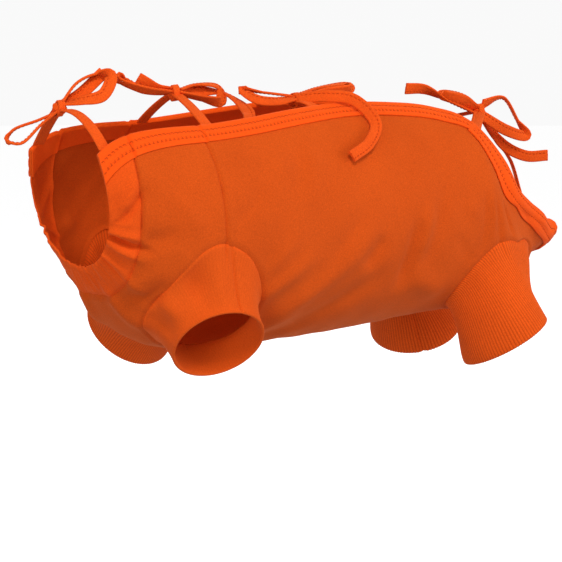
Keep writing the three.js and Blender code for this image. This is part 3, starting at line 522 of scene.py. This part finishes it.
def tape_piece(name, parts, material, sharp=50):
    """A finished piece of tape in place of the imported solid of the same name."""
    piece = make_object(f"{name}_cloth", parts["points"], parts["faces"], parts["uvs"], material, sharp)
    return finish_piece(piece, [name])


def thicken(outer, inner, faces, uvs):
    """A closed solid from an open patch and its inner twin."""
    count = len(outer)
    solid = [tuple(face) for face in faces] + [tuple(v + count for v in reversed(face)) for face in faces]
    seen = {}
    for face in faces:
        for a, b in zip(face, face[1:] + face[:1]):
            if (b, a) in seen:
                del seen[(b, a)]
            else:
                seen[(a, b)] = True
    for a, b in seen:
        solid.append((b, a, a + count, b + count))
    return np.concatenate([outer, inner]), solid, np.concatenate([uvs, uvs])


def clipped_grid(at, around, keep):
    """The part of a grid where keep is positive. Returns the places of its points and its faces."""
    rows, columns = at.shape
    index = -np.ones(at.shape, int)
    inside = keep > 0
    index[inside] = np.arange(inside.sum())
    places = [tuple(p) for p in np.stack([at[inside], around[inside]], -1)]
    cuts = {}

    def cut(a, b):
        key = (a, b) if a < b else (b, a)
        if key not in cuts:
            t = keep[a] / (keep[a] - keep[b])
            places.append((at[a] + (at[b] - at[a]) * t, around[a] + (around[b] - around[a]) * t))
            cuts[key] = len(places) - 1
        return cuts[key]

    faces = []
    for i in range(rows - 1):
        for j in range(columns - 1):
            ring = [(i, j), (i, j + 1), (i + 1, j + 1), (i + 1, j)]
            face = []
            for a, b in zip(ring, ring[1:] + ring[:1]):
                if inside[a]:
                    face.append(index[a])
                if inside[a] != inside[b]:
                    face.append(cut(a, b))
            if face:
                faces.append(tuple(face))
    places = np.array(places)
    return places[:, 0], places[:, 1], faces


def cloth_piece(name, from_at, to_at, row_step, column_step, material, cut_holes=True):
    """A panel of the body between two lines across it."""
    columns = int(round(2 * HALF_GIRTH / column_step))
    around = np.linspace(-1, 1, columns + 1)
    start, end = from_at(around), to_at(around)
    rows = int(round((end - start).max() * SHIRT_LENGTH / row_step))
    share = np.linspace(0, 1, rows + 1)[:, None]
    at = start + (end - start) * share
    around = np.broadcast_to(around, at.shape)
    keep = hole_distance(at, around) + SEAM_LAP if cut_holes else np.ones(at.shape)
    keep = np.minimum(keep, tip_room(at, around))
    at, around, faces = clipped_grid(at, around, keep)
    outer = cloth_point(at, around)
    inner = outer - body_normal(at, around) * JERSEY_WALL
    uvs = np.stack([around * girth(at), at * SHIRT_LENGTH], -1)
    points, solid, uvs = thicken(outer, inner, faces, uvs)
    return make_object(name, points, solid, uvs, material)


def tip_room(at, around):
    """Positive where places lie inside the rounded tip of the rump."""
    past_x = at * SHIRT_LENGTH - TIP_X
    past_y = np.abs(around) * girth(at) - TIP_Y
    corner = (past_y > 0) & (np.arctan2(past_x, past_y) > TIP_TURN)
    return np.where(corner, TIP_ROUND + 1e-3 - np.hypot(past_x, past_y), 1.0)


def sleeve_point(sleeve, side, turn, down):
    """Points of a sleeve's inner face. turn runs once around it, and down from the seam to the rim."""
    seam = sleeve["seam"]
    middle = seam.mean(0)

    def on_seam(scale):
        spot = middle + (closed_curve(seam, turn) - middle) * scale
        return body_point(spot[..., 0], side * spot[..., 1])

    start = on_seam(1.0)
    into = unit(on_seam(0.93) - start)
    splay, pitch = math.radians(sleeve["splay"]), math.radians(sleeve["pitch"])
    fore = np.array([math.cos(pitch), 0, math.sin(pitch)])
    wide = np.array([0, side * math.cos(splay), math.sin(splay)])
    wide = unit(wide - fore * (wide @ fore))
    centre = np.array([
        sleeve["x"] * SHIRT_LENGTH, side * sleeve["out"] * TORSO_WIDTH / 2, -sleeve["down"] * TORSO_HEIGHT,
    ])
    axis = np.cross(fore, wide) * -side
    away = start - centre
    angle = np.arctan2(away @ wide, away @ fore)[..., None]
    end = centre + fore * np.cos(angle) * sleeve["long"] * TORSO_WIDTH
    end = end + wide * np.sin(angle) * sleeve["wide"] * TORSO_WIDTH
    far = np.linalg.norm(end - start, axis=-1, keepdims=True) * sleeve["reach"]
    t = np.asarray(down, float)[..., None]
    return smooth_step(t, start, into * far, end, axis * far)


def even_turns(sleeve, side, count):
    """Turns that are evenly spaced around the middle of a sleeve."""
    fine = np.linspace(0, 1, 801)
    travelled = distance_along(sleeve_point(sleeve, side, fine, np.full(801, 0.6)))
    length = travelled[-1]
    return np.interp(np.linspace(0, length, count + 1)[:-1], travelled, fine), length


def make_sleeve(name, sleeve, side, material):
    rows, per_rib, step = 26, 4, 0.004
    length = even_turns(sleeve, side, 1)[1]
    columns = int(round(length / sleeve["rib_pitch"])) * per_rib
    turn = even_turns(sleeve, side, columns)[0]
    turns, downs = np.meshgrid(turn, np.linspace(0, 1, rows + 1) ** 0.9)

    def spot(turn_step=0, down_step=0):
        return sleeve_point(sleeve, side, turns + turn_step, np.clip(downs + down_step, 0, 1))

    points = spot()
    ahead = spot(down_step=step) - spot(down_step=-step)
    across = spot(step) - spot(-step)
    normal = unit(np.cross(across, ahead)) * -side
    first = closed_curve(sleeve["seam"], turn)
    normal[0] = body_normal(first[:, 0], side * first[:, 1])
    normal[1] = unit(0.5 * normal[0] + 0.5 * normal[1])
    lift = cloth_height(first[:, 0], side * first[:, 1]) + SEAM_DEPTH
    points = points + normal * (lift * np.exp(-((downs / 0.22) ** 2)))[..., None]
    phase = np.arange(columns) / per_rib
    rib = np.abs(np.sin(np.pi * phase)) ** 0.8 - 0.5
    shape = sleeve["rib_depth"][side] * rib * np.clip(downs * 12, 0.3, 1)
    groove = sleeve["groove"][0] + (sleeve["groove"][1] - sleeve["groove"][0]) * downs
    off = np.abs((turns - groove + 0.5) % 1 - 0.5) * length
    shape = shape - GROOVE_DEPTH * bump_line(off, 1.2)
    shape = shape - SEAM_DEPTH * bump_line(downs * 60, 1.6)
    bulge = np.zeros_like(shape)
    for fold_turn, fold_down, wide, high, rise in sleeve["folds"]:
        off = (turns - fold_turn + 0.5) % 1 - 0.5
        bulge = bulge + rise * bump_line(off, wide) * bump_line(downs - fold_down, high)
    inner = points + normal * (bulge * np.clip(downs * 8, 0, 1) * np.clip((1 - downs) * 8, 0, 1))[..., None]
    wall = JERSEY_WALL + (RIB_WALL + 0.4 - JERSEY_WALL) * downs
    outer = inner + normal * (shape + wall)[..., None]
    # The rim is rolled over: a half circle joins the outer face to the inner one
    rings = [outer]
    centre = (outer[-1] + inner[-1]) / 2
    radius = (outer[-1] - inner[-1]) / 2
    way = unit(inner[-1] - inner[-2]) * np.linalg.norm(radius, axis=-1, keepdims=True)
    for k in range(1, 5):
        a = math.pi * k / 5
        rings.append((centre + radius * math.cos(a) + way * math.sin(a))[None])
    rings.append(inner[::-1])
    grid = np.concatenate(rings)
    count = len(grid)
    travelled = distance_along(grid)
    faces, uvs = [], []
    for i in range(count):
        n = (i + 1) % count
        for j in range(columns):
            m = (j + 1) % columns
            face = (i * columns + j, i * columns + m, n * columns + m, n * columns + j)
            low = travelled[i, j]
            high = travelled[n, j] if n else low + 1
            left, right = phase[j], phase[j] + 1 / per_rib
            corner = [(left, low), (right, low), (right, high), (left, high)]
            if side > 0:
                face, corner = face[::-1], corner[::-1]
            faces.append(face)
            uvs.extend(corner)
    return make_object(name, grid.reshape(-1, 3), faces, uvs, material, sharp=70)


# Bindings: tape folded over an edge of the body
def flat_cloth(x, y, height):
    """Points over the cloth at flat places: x along the shirt in mm, y around it in mm."""
    at = x / SHIRT_LENGTH
    return cloth_point(at, np.clip(y / girth(at), -1, 1), height)


BINDING_ROWS = (0.3, 0.7)  # the two rows of stitches, as shares of the width from the edge


def binding_profile():
    """The tape's cross-section: depth from the edge and height over the cloth's outer face."""
    outer = BINDING_GAP + BINDING_WALL
    under = -JERSEY_WALL - BINDING_GAP
    profile = []
    for depth in np.linspace(BINDING_WIDTH, 0.6, 16):
        dent = sum(0.65 * bump_line(depth - row * BINDING_WIDTH, 0.9) for row in BINDING_ROWS)
        edge = 0.5 * bump_line(depth - BINDING_WIDTH, 0.8)
        profile.append((depth, outer + 0.25 - dent - edge))
    middle = (outer + under - BINDING_WALL) / 2
    radius = (outer + 0.25 - (under - BINDING_WALL)) / 2
    for k in range(1, 8):
        a = math.pi * k / 8
        profile.append((-math.sin(a) * (BINDING_WALL + 0.5), middle + radius * math.cos(a)))
    profile += [(depth, under - BINDING_WALL) for depth in np.linspace(0.6, BINDING_WIDTH, 12)]
    profile += [(depth, under) for depth in np.linspace(BINDING_WIDTH, 0.2, 6)]
    return profile + [(depth, BINDING_GAP) for depth in np.linspace(0.2, BINDING_WIDTH, 6)]


def over_edge(path, inward, depth, height):
    """Points at a depth inwards from an edge, or past it where the depth is negative."""
    if np.min(depth) >= 0:
        spot = path + inward * np.reshape(depth, (-1, 1))
        return flat_cloth(spot[:, 0], spot[:, 1], height)
    at_edge = flat_cloth(path[:, 0], path[:, 1], height)
    inner = path + inward * 2.0
    way = unit(at_edge - flat_cloth(inner[:, 0], inner[:, 1], height))
    return at_edge + way * -depth


def add_tube(parts, grid, line, profile, turned=False):
    """Adds a profile that is swept along a line, as a grid of points, with both ends closed."""
    base = len(parts["points"])
    stations, count = grid.shape[:2]
    travelled, across = distance_along(line), distance_along(profile)
    parts["points"] += list(grid.reshape(-1, 3))
    faces = []
    for i in range(stations - 1):
        low, high = travelled[i], travelled[i + 1]
        for j in range(count):
            n = (j + 1) % count
            left, right = across[j], across[n] if n else across[j] + 1
            corners = ((i, j, left, low), (i, n, right, low), (i + 1, n, right, high), (i + 1, j, left, high))
            faces.append([(base + a * count + b, (u, v)) for a, b, u, v in corners])
    for i, way in ((0, -1), (stations - 1, 1)):
        faces.append([(base + i * count + j, (across[j], travelled[i])) for j in range(count)][::way])
    for face in faces:
        face = face[::-1] if turned else face
        parts["faces"].append([point for point, _ in face])
        parts["uvs"] += [uv for _, uv in face]


def make_binding(name, path, inward, widen):
    """widen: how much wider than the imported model's binding it is."""
    profile = binding_profile()
    grid = np.stack([over_edge(path, inward, d * (widen if d > 0 else 1), h) for d, h in profile], 1)
    parts = start_parts()
    add_tube(parts, grid, path, profile)
    return tape_piece(name, parts, TAPE, sharp=40)


# Stitches, with sizes in mm
THREAD_LENGTH = 2.6
THREAD_GAP = 1.2
THREAD_RADIUS = 0.42
CROSSING_STEP = 3.8  # the length of one zigzag
CROSSING_RADIUS = 0.26


def add_thread(parts, start, end, up, radius):
    """One stitch: a short round thread that dips into the cloth at both ends."""
    sides = 6
    base = len(parts["points"])
    ahead = unit(end - start)
    up = unit(up - ahead * (up @ ahead))
    over = np.cross(ahead, up)
    rings = ((0, 0.35, -0.5), (0.18, 1, 0.4), (0.5, 1.1, 0.45), (0.82, 1, 0.4), (1, 0.35, -0.5))
    for share, size, lift in rings:
        centre = start + (end - start) * share + up * radius * lift
        for k in range(sides):
            a = 2 * math.pi * k / sides
            parts["points"].append(centre + radius * size * (over * math.cos(a) + up * math.sin(a)))
    for i in range(4):
        for k in range(sides):
            n = (k + 1) % sides
            low, high = base + i * sides, base + (i + 1) * sides
            parts["faces"].append((low + k, low + n, high + n, high + k))
    parts["faces"].append(tuple(base + k for k in range(sides))[::-1])
    parts["faces"].append(tuple(base + 4 * sides + k for k in range(sides)))


def along(line):
    """The length of a line of points, and a function for what lies at a distance along it."""
    travelled = distance_along(line)

    def value(distance, values=line):
        return np.array([np.interp(distance, travelled, values[:, k]) for k in range(3)])

    return travelled[-1], value


def add_row(parts, line, normal):
    """A row of stitches laid end to end along a line of points."""
    length, value = along(line)
    for start in np.arange(THREAD_GAP, length - THREAD_LENGTH, THREAD_LENGTH + THREAD_GAP):
        middle = start + THREAD_LENGTH / 2
        add_thread(parts, value(start), value(start + THREAD_LENGTH), value(middle, normal), THREAD_RADIUS)


def add_crossings(parts, low, high, normal):
    """The zigzag of a cover stitch between two rows."""
    length, value = along(low)
    start = CROSSING_STEP
    while start < length - CROSSING_STEP:
        end = start + CROSSING_STEP / 2
        add_thread(parts, value(start, low), value(end, high), value(start, normal), CROSSING_RADIUS)
        low, high = high, low
        start = end


def make_stitches(name, rows, crossed=False):
    parts = start_parts()
    for line, normal in rows:
        add_row(parts, line, normal)
    if crossed:
        (low, normal), (high, _) = rows
        add_crossings(parts, low + normal * 0.3, high + normal * 0.3, normal)
    points = np.array(parts["points"])
    stitches = make_object(name, points, parts["faces"], points[:, :2], THREAD, sharp=80)
    finish_piece(stitches, [])


def binding_rows(path, inward, widen):
    """The lines of a binding's stitches, and the way up from each."""
    rows = []
    height = BINDING_GAP + BINDING_WALL - 0.4
    for row in BINDING_ROWS:
        depth = row * BINDING_WIDTH * widen
        line = over_edge(path, inward, depth, height)
        rows.append((line, over_edge(path, inward, depth, height + 1) - line))
    return rows


# Ribbons
def smooth_line(points, step):
    """Points of a smooth curve through a few points, about a step apart, and their place in the list."""
    points = np.asarray(points, float)
    count = len(points)
    ends = np.concatenate([[2 * points[0] - points[1]], points, [2 * points[-1] - points[-2]]])
    samples, places = [], []
    for i in range(count - 1):
        a, b, c, d = ends[i:i + 4]
        knots = [0.0]
        for p, q in ((a, b), (b, c), (c, d)):
            knots.append(knots[-1] + max(1e-3, np.linalg.norm(q - p) ** 0.5))
        pieces = max(2, int(round(np.linalg.norm(c - b) / step)))
        for s in np.arange(pieces) / pieces:
            t = knots[1] + (knots[2] - knots[1]) * s

            def mix(p, q, t0, t1):
                return p * (t1 - t) / (t1 - t0) + q * (t - t0) / (t1 - t0)

            ab, bc, cd = mix(a, b, *knots[0:2]), mix(b, c, *knots[1:3]), mix(c, d, *knots[2:4])
            abc, bcd = mix(ab, bc, knots[0], knots[2]), mix(bc, cd, knots[1], knots[3])
            samples.append(mix(abc, bcd, knots[1], knots[2]))
            places.append(i + s)
    samples.append(points[-1])
    places.append(count - 1)
    return np.array(samples), np.array(places)


LOOP_BASE = unit(np.array([0.5, 0.85, 0.0]))


def ribbon_frame(line, twists, base):
    """The ways across and up from a ribbon's face along its line."""
    ahead = unit(np.gradient(line, axis=0))
    wide = unit(base - ahead * (ahead @ base)[:, None])
    turn = np.radians(twists)[:, None]
    wide = wide * np.cos(turn) + np.cross(ahead, wide) * np.sin(turn)
    return wide, np.cross(ahead, wide)


def ribbon_profile(width, wall):
    """A folded tape's cross-section: soft edges, and a shallow groove for the stitches on each face."""
    half, thick = width / 2, wall / 2
    top = [(a * half, thick * (1.0 - 0.22 * bump_line(a - 0.45, 0.12) + 0.12 * bump_line(a, 0.3)))
           for a in np.linspace(-0.84, 0.84, 9)]
    right = [(half * 0.96, thick * 0.6), (half, 0), (half * 0.96, -thick * 0.6)]
    return top + right + [(-a, -b) for a, b in top + right]


def add_ribbon(parts, line, twists, base, width=TIE_WIDTH, wall=TIE_WALL):
    """Adds a ribbon to a piece. Returns the line of its stitches and the way up from it."""
    wide, thick = ribbon_frame(line, twists, base)
    profile = np.array(ribbon_profile(width, wall))
    grid = line[:, None] + wide[:, None] * profile[:, :1] + thick[:, None] * profile[:, 1:]
    add_tube(parts, grid, line, profile, turned=True)
    return line + wide * (0.45 * width / 2) + thick * (wall / 2 * 0.8), thick


def add_knot(parts, middle, seed):
    """A knot: a crumpled lump with a band of tape around it."""
    rings, around = 20, 28
    size = np.array([0.5, 0.42, 0.42]) * KNOT_SIZE
    base = len(parts["points"])
    for i in range(rings + 1):
        fall = math.pi * i / rings
        for j in range(around):
            turn = 2 * math.pi * j / around
            ring = math.sin(fall)
            way = np.array([math.cos(fall), ring * math.cos(turn), ring * math.sin(turn)])
            crease = 0.10 * math.sin(3 * turn + 4 * way[0] + seed) + 0.05 * math.sin(7 * turn - 3 * way[0])
            parts["points"].append(middle + way * size * (0.92 + crease * ring))
    for i in range(rings):
        for j in range(around):
            n = (j + 1) % around
            face = (i * around + j, i * around + n, (i + 1) * around + n, (i + 1) * around + j)
            parts["faces"].append([base + v for v in face])
            parts["uvs"] += [(j, i), (j + 1, i), (j + 1, i + 1), (j, i + 1)]
    turns = np.linspace(0, 2 * math.pi, 41)
    tilt = 0.35 + 0.2 * math.sin(seed)
    radius = 0.44 * KNOT_SIZE
    line = middle + np.stack([
        radius * 0.5 * np.sin(turns + seed) * tilt, radius * np.cos(turns), radius * np.sin(turns),
    ], -1)
    across = np.array([1.0, 0.15, 0.1])
    add_ribbon(parts, line, np.zeros(len(turns)), across, width=TIE_WIDTH * 0.62, wall=1.8)


def make_tie(name, tie):
    knot = np.array(tie["knot"]) * (SHIRT_LENGTH, TORSO_WIDTH / 2, TORSO_HEIGHT)
    parts, runs, length = start_parts(), [], 0
    for strand in tie["strands"]:
        table = np.array(strand)
        line, places = smooth_line(knot + table[:, :3] * BOW_SPAN, 2.2)
        twists = np.interp(places, np.arange(len(table)), table[:, 3])
        runs.append(add_ribbon(parts, line, twists, LOOP_BASE))
        length += distance_along(line)[-1]
    add_knot(parts, knot, len(name) * 1.7)
    bow = tape_piece(f"{name}_bow", parts, TIE)
    for side_name, side in SIDES.items():
        start = body_point(tie["at"], side)
        way = unit(knot - start)
        end = knot - way * 0.25 * KNOT_SIZE + np.array([0, side * 1.2, 0])
        rise = tie["rise"][0 if side < 0 else 1] * TORSO_HEIGHT
        share = np.linspace(0, 1, 24)[:, None]
        line = start + (end - start) * share + np.array([0, 0, 4 * rise]) * share * (1 - share)
        parts = start_parts()
        runs.append(add_ribbon(parts, line, np.zeros(len(line)), np.array([1.0, 0, 0])))
        strap = tape_piece(f"{name}_{side_name}_strap", parts, TIE)
    make_stitches(f"{name}_stitches", runs)


# Materials
STITCH_RELIEF = 0.12  # in mm


def start_material(name):
    material = bpy.data.materials.new(name)
    material.use_nodes = True
    return material, material.node_tree.nodes["Principled BSDF"]


def set_inputs(node, values):
    for name, value in values.items():
        node.inputs[name].default_value = value


class Nodes:
    """Short calls for the nodes of one material."""

    def __init__(self, tree):
        self.tree = tree

    def node(self, kind, **values):
        made = self.tree.nodes.new(kind)
        for key, value in values.items():
            setattr(made, key, value)
        return made

    def link(self, source, target):
        self.tree.links.new(source, target)

    def math(self, operation, a, b=0.0):
        made = self.node("ShaderNodeMath", operation=operation)
        for socket, value in zip(made.inputs, (a, b)):
            if isinstance(value, (int, float)):
                socket.default_value = value
            else:
                self.link(value, socket)
        return made.outputs[0]

    def add(self, a, b):
        return self.math("ADD", a, b)

    def times(self, a, b):
        return self.math("MULTIPLY", a, b)

    def noise(self, vector, scale, detail, roughness):
        made = self.node("ShaderNodeTexNoise")
        set_inputs(made, {"Scale": scale, "Detail": detail, "Roughness": roughness})
        self.link(vector, made.inputs["Vector"])
        return made.outputs["Fac"]

    def mix(self, factor, a, b):
        """A colour between two plain ones."""
        made = self.node("ShaderNodeMix", data_type="RGBA")
        self.link(factor, made.inputs[0])
        made.inputs[6].default_value = (*a, 1)
        made.inputs[7].default_value = (*b, 1)
        return made.outputs[2]


def knit_material(name, light, dark, wale, course, rib=None):
    """A knitted cloth with painted shade in its hollows. wale and course are one stitch's width and height,
    and rib is how dark the painted shade in the rib's grooves is.
    """
    material, shader = start_material(name)
    n = Nodes(material.node_tree)
    uv = n.node("ShaderNodeUVMap", uv_map="weave").outputs["UV"]
    split = n.node("ShaderNodeSeparateXYZ")
    n.link(uv, split.inputs[0])
    u, v = split.outputs[:2]
    place = n.node("ShaderNodeTexCoord").outputs["Object"]
    u_share = n.math("FRACT", n.math("DIVIDE", u, wale))
    from_middle = n.math("ABSOLUTE", n.math("SUBTRACT", u_share, 0.5))
    lean = n.times(from_middle, 1.3)
    v_phase = n.add(n.math("DIVIDE", v, course), lean)
    loops = n.times(n.math("SINE", n.times(v_phase, 2 * math.pi)), 0.5)
    ridge = n.math("SINE", n.times(from_middle, 2 * math.pi))
    height = n.add(n.times(ridge, 0.6), n.times(loops, 0.5))
    height = n.add(height, n.times(n.noise(place, 1600, 3, 0.7), 0.5))
    bump = n.node("ShaderNodeBump")
    set_inputs(bump, {"Strength": 0.55, "Distance": STITCH_RELIEF * MM})
    n.link(height, bump.inputs["Height"])
    n.link(bump.outputs[0], shader.inputs["Normal"])
    mottled = n.noise(place, 950, 4, 0.7)
    broad = n.noise(place, 14, 2, 0.5)
    shade = n.add(n.times(mottled, 1.5), n.times(broad, 0.5))
    # Painted shade: the colour is darker where the stitches' bump is low, in the hollows between the loops.
    shade = n.add(shade, n.times(height, 0.22))
    # Painted shade: rib darkens the colour in the grooves between the ribs.
    if rib:
        wave = n.math("SINE", n.times(n.math("FRACT", u), math.pi))
        groove = n.math("POWER", n.math("ABSOLUTE", wave), 0.6)
        shade = n.add(shade, n.times(n.math("SUBTRACT", groove, 0.75), rib))
    shade = n.math("SUBTRACT", shade, 0.62)
    shade = n.math("MINIMUM", n.math("MAXIMUM", shade, 0.0), 1.0)
    n.link(n.mix(shade, dark, light), shader.inputs["Base Color"])
    n.link(n.add(n.times(mottled, 0.15), 0.82), shader.inputs["Roughness"])
    sheen = {"Sheen Weight": 0.2, "Sheen Roughness": 0.45, "Sheen Tint": (1.0, 0.34, 0.08, 1)}
    set_inputs(shader, {"Specular IOR Level": 0.06, **sheen})
    return material


JERSEY = knit_material("orange_jersey", (0.74, 0.098, 0.008), (0.42, 0.046, 0.003), 1.2, 0.9)
NECK = knit_material("orange_neck_rib", (0.90, 0.106, 0.008), (0.56, 0.051, 0.004), 1.1, 1.0)
# rib=: how dark the painted shade in the rib's grooves is
RIB = knit_material("orange_rib", (0.87, 0.112, 0.009), (0.45, 0.045, 0.003), 0.5, 1.1, rib=0.7)
FINE_RIB = knit_material("orange_fine_rib", (0.80, 0.105, 0.009), (0.53, 0.058, 0.004), 0.5, 1.0, rib=0.15)
TAPE = knit_material("orange_tape", (0.97, 0.102, 0.006), (0.76, 0.066, 0.004), 1.0, 0.9)
TIE = knit_material("orange_tie", (0.95, 0.115, 0.010), (0.56, 0.052, 0.005), 1.0, 0.9)
THREAD = knit_material("orange_thread", (0.74, 0.078, 0.006), (0.44, 0.038, 0.004), 0.4, 0.4)

# The pieces, each with the step between its rows and between its columns in mm
neck = cloth_piece(
    "neck_band_cloth", lambda r: np.full_like(r, FIRST), neck_seam, 1.6, 1.5, NECK, cut_holes=False,
)
finish_piece(neck, ["neck_band"])
front = cloth_piece("front_panel_cloth", neck_seam, side_seam, 2.4, 2.4, JERSEY)
finish_piece(front, ["front_panel"])
rear = cloth_piece("rear_panel_cloth", side_seam, lambda r: np.full_like(r, LAST), 2.6, 2.6, JERSEY)
finish_piece(rear, ["rear_panel"])

for sleeve_name, sleeve in SLEEVES.items():
    for side_name, side in SIDES.items():
        smooth = sleeve_name == "front_sleeve" and side < 0
        piece = make_sleeve(f"{side_name}_{sleeve_name}_cloth", sleeve, side, FINE_RIB if smooth else RIB)
        finish_piece(piece, [f"{side_name}_{sleeve_name}"])

back_x = np.linspace(FIRST, CORNER, 190) * SHIRT_LENGTH
for side_name, side in SIDES.items():
    path = np.stack([back_x, side * girth(back_x / SHIRT_LENGTH)], -1)
    inward = np.tile([0.0, -side], (len(path), 1))
    if side > 0:
        path, inward = path[::-1], inward[::-1]
    piece = make_binding(f"{side_name}_back_binding", path, inward, BACK_WIDEN)
    make_stitches(f"{side_name}_back_stitches", binding_rows(path, inward, BACK_WIDEN), crossed=True)

# The rump's binding starts as wide as the back's, and narrows towards the tip
travelled = distance_along(RUMP_PATH)
along_side = np.minimum(travelled, travelled[-1] - travelled) / travelled[RUMP_SIDE_STATIONS - 1]
widths = (BACK_WIDEN, RUMP_WIDEN, RUMP_WIDEN, 1.2, 0.9)
widen = np.interp(along_side, (0.02, 0.3, 0.62, 0.78, 0.97), widths)
widen = np.convolve(np.pad(widen, 10, mode="edge"), np.full(21, 1 / 21), mode="valid")
piece = make_binding("rump_binding", RUMP_PATH, RUMP_INWARD, widen)
make_stitches("rump_stitches", binding_rows(RUMP_PATH, RUMP_INWARD, widen), crossed=True)

for tie_name, tie in TIES.items():
    make_tie(tie_name, tie)


# The floor, lights and world
FLOOR_LOW = -0.42
LIGHT_AIM = Vector((0, 0, -0.1))


def staged(name, points, faces, inputs):
    """A pale surface of the studio, with the values of its material's inputs."""
    material, shader = start_material(f"pale_{name}")
    set_inputs(shader, {"Emission Color": (1, 1, 1, 1), **inputs})
    mesh = bpy.data.meshes.new(name)
    mesh.from_pydata(points, [], faces)
    mesh.materials.append(material)
    piece = add_object(name, mesh)
    return piece


def area_light(name, place, size, power):
    data = bpy.data.lights.new(name, "AREA")
    data.shape = "DISK"
    data.size = size
    data.energy = power
    aim(add_object(name, data), place, LIGHT_AIM - Vector(place))


size = 12.0
corners = [(x * size, y * size, FLOOR_LOW) for x, y in ((-1, -1), (1, -1), (1, 1), (-1, 1))]
inputs = {"Base Color": (0.4, 0.4, 0.4, 1), "Roughness": 0.9, "Emission Strength": 0.78}
staged("floor", corners, [(0, 1, 2, 3)], inputs).visible_diffuse = False

# A round pale wall far behind everything. Only the camera sees it, so it gives no light
count, radius, high = 48, 9.0, 14.0
turns = [2 * math.pi * k / count for k in range(count)]
ring = [(radius * math.cos(turn), radius * math.sin(turn)) for turn in turns]
points = [(x, y, FLOOR_LOW) for x, y in ring] + [(x, y, high) for x, y in ring]
faces = [(k, (k + 1) % count, (k + 1) % count + count, k + count) for k in range(count)]
inputs = {"Base Color": (0, 0, 0, 1), "Specular IOR Level": 0, "Emission Strength": 0.95}
wall = staged("backdrop", points, faces, inputs)
wall.visible_diffuse = False
wall.visible_glossy = False
wall.visible_shadow = False

area_light("key", (-0.8, -2.2, 2.1), 0.9, 52)
area_light("fill", (2.2, -1.8, 0.3), 1.6, 34)
area_light("front", (-2.2, -1.2, -0.1), 1.3, 20)
area_light("back", (0.6, 2.2, 1.4), 1.6, 40)
world = bpy.data.worlds.new("studio")
world.use_nodes = True
set_inputs(world.node_tree.nodes["Background"], {"Color": (1, 1, 1, 1), "Strength": 0.45})
bpy.context.scene.world = world
bpy.context.scene.view_settings.view_transform = "Standard"
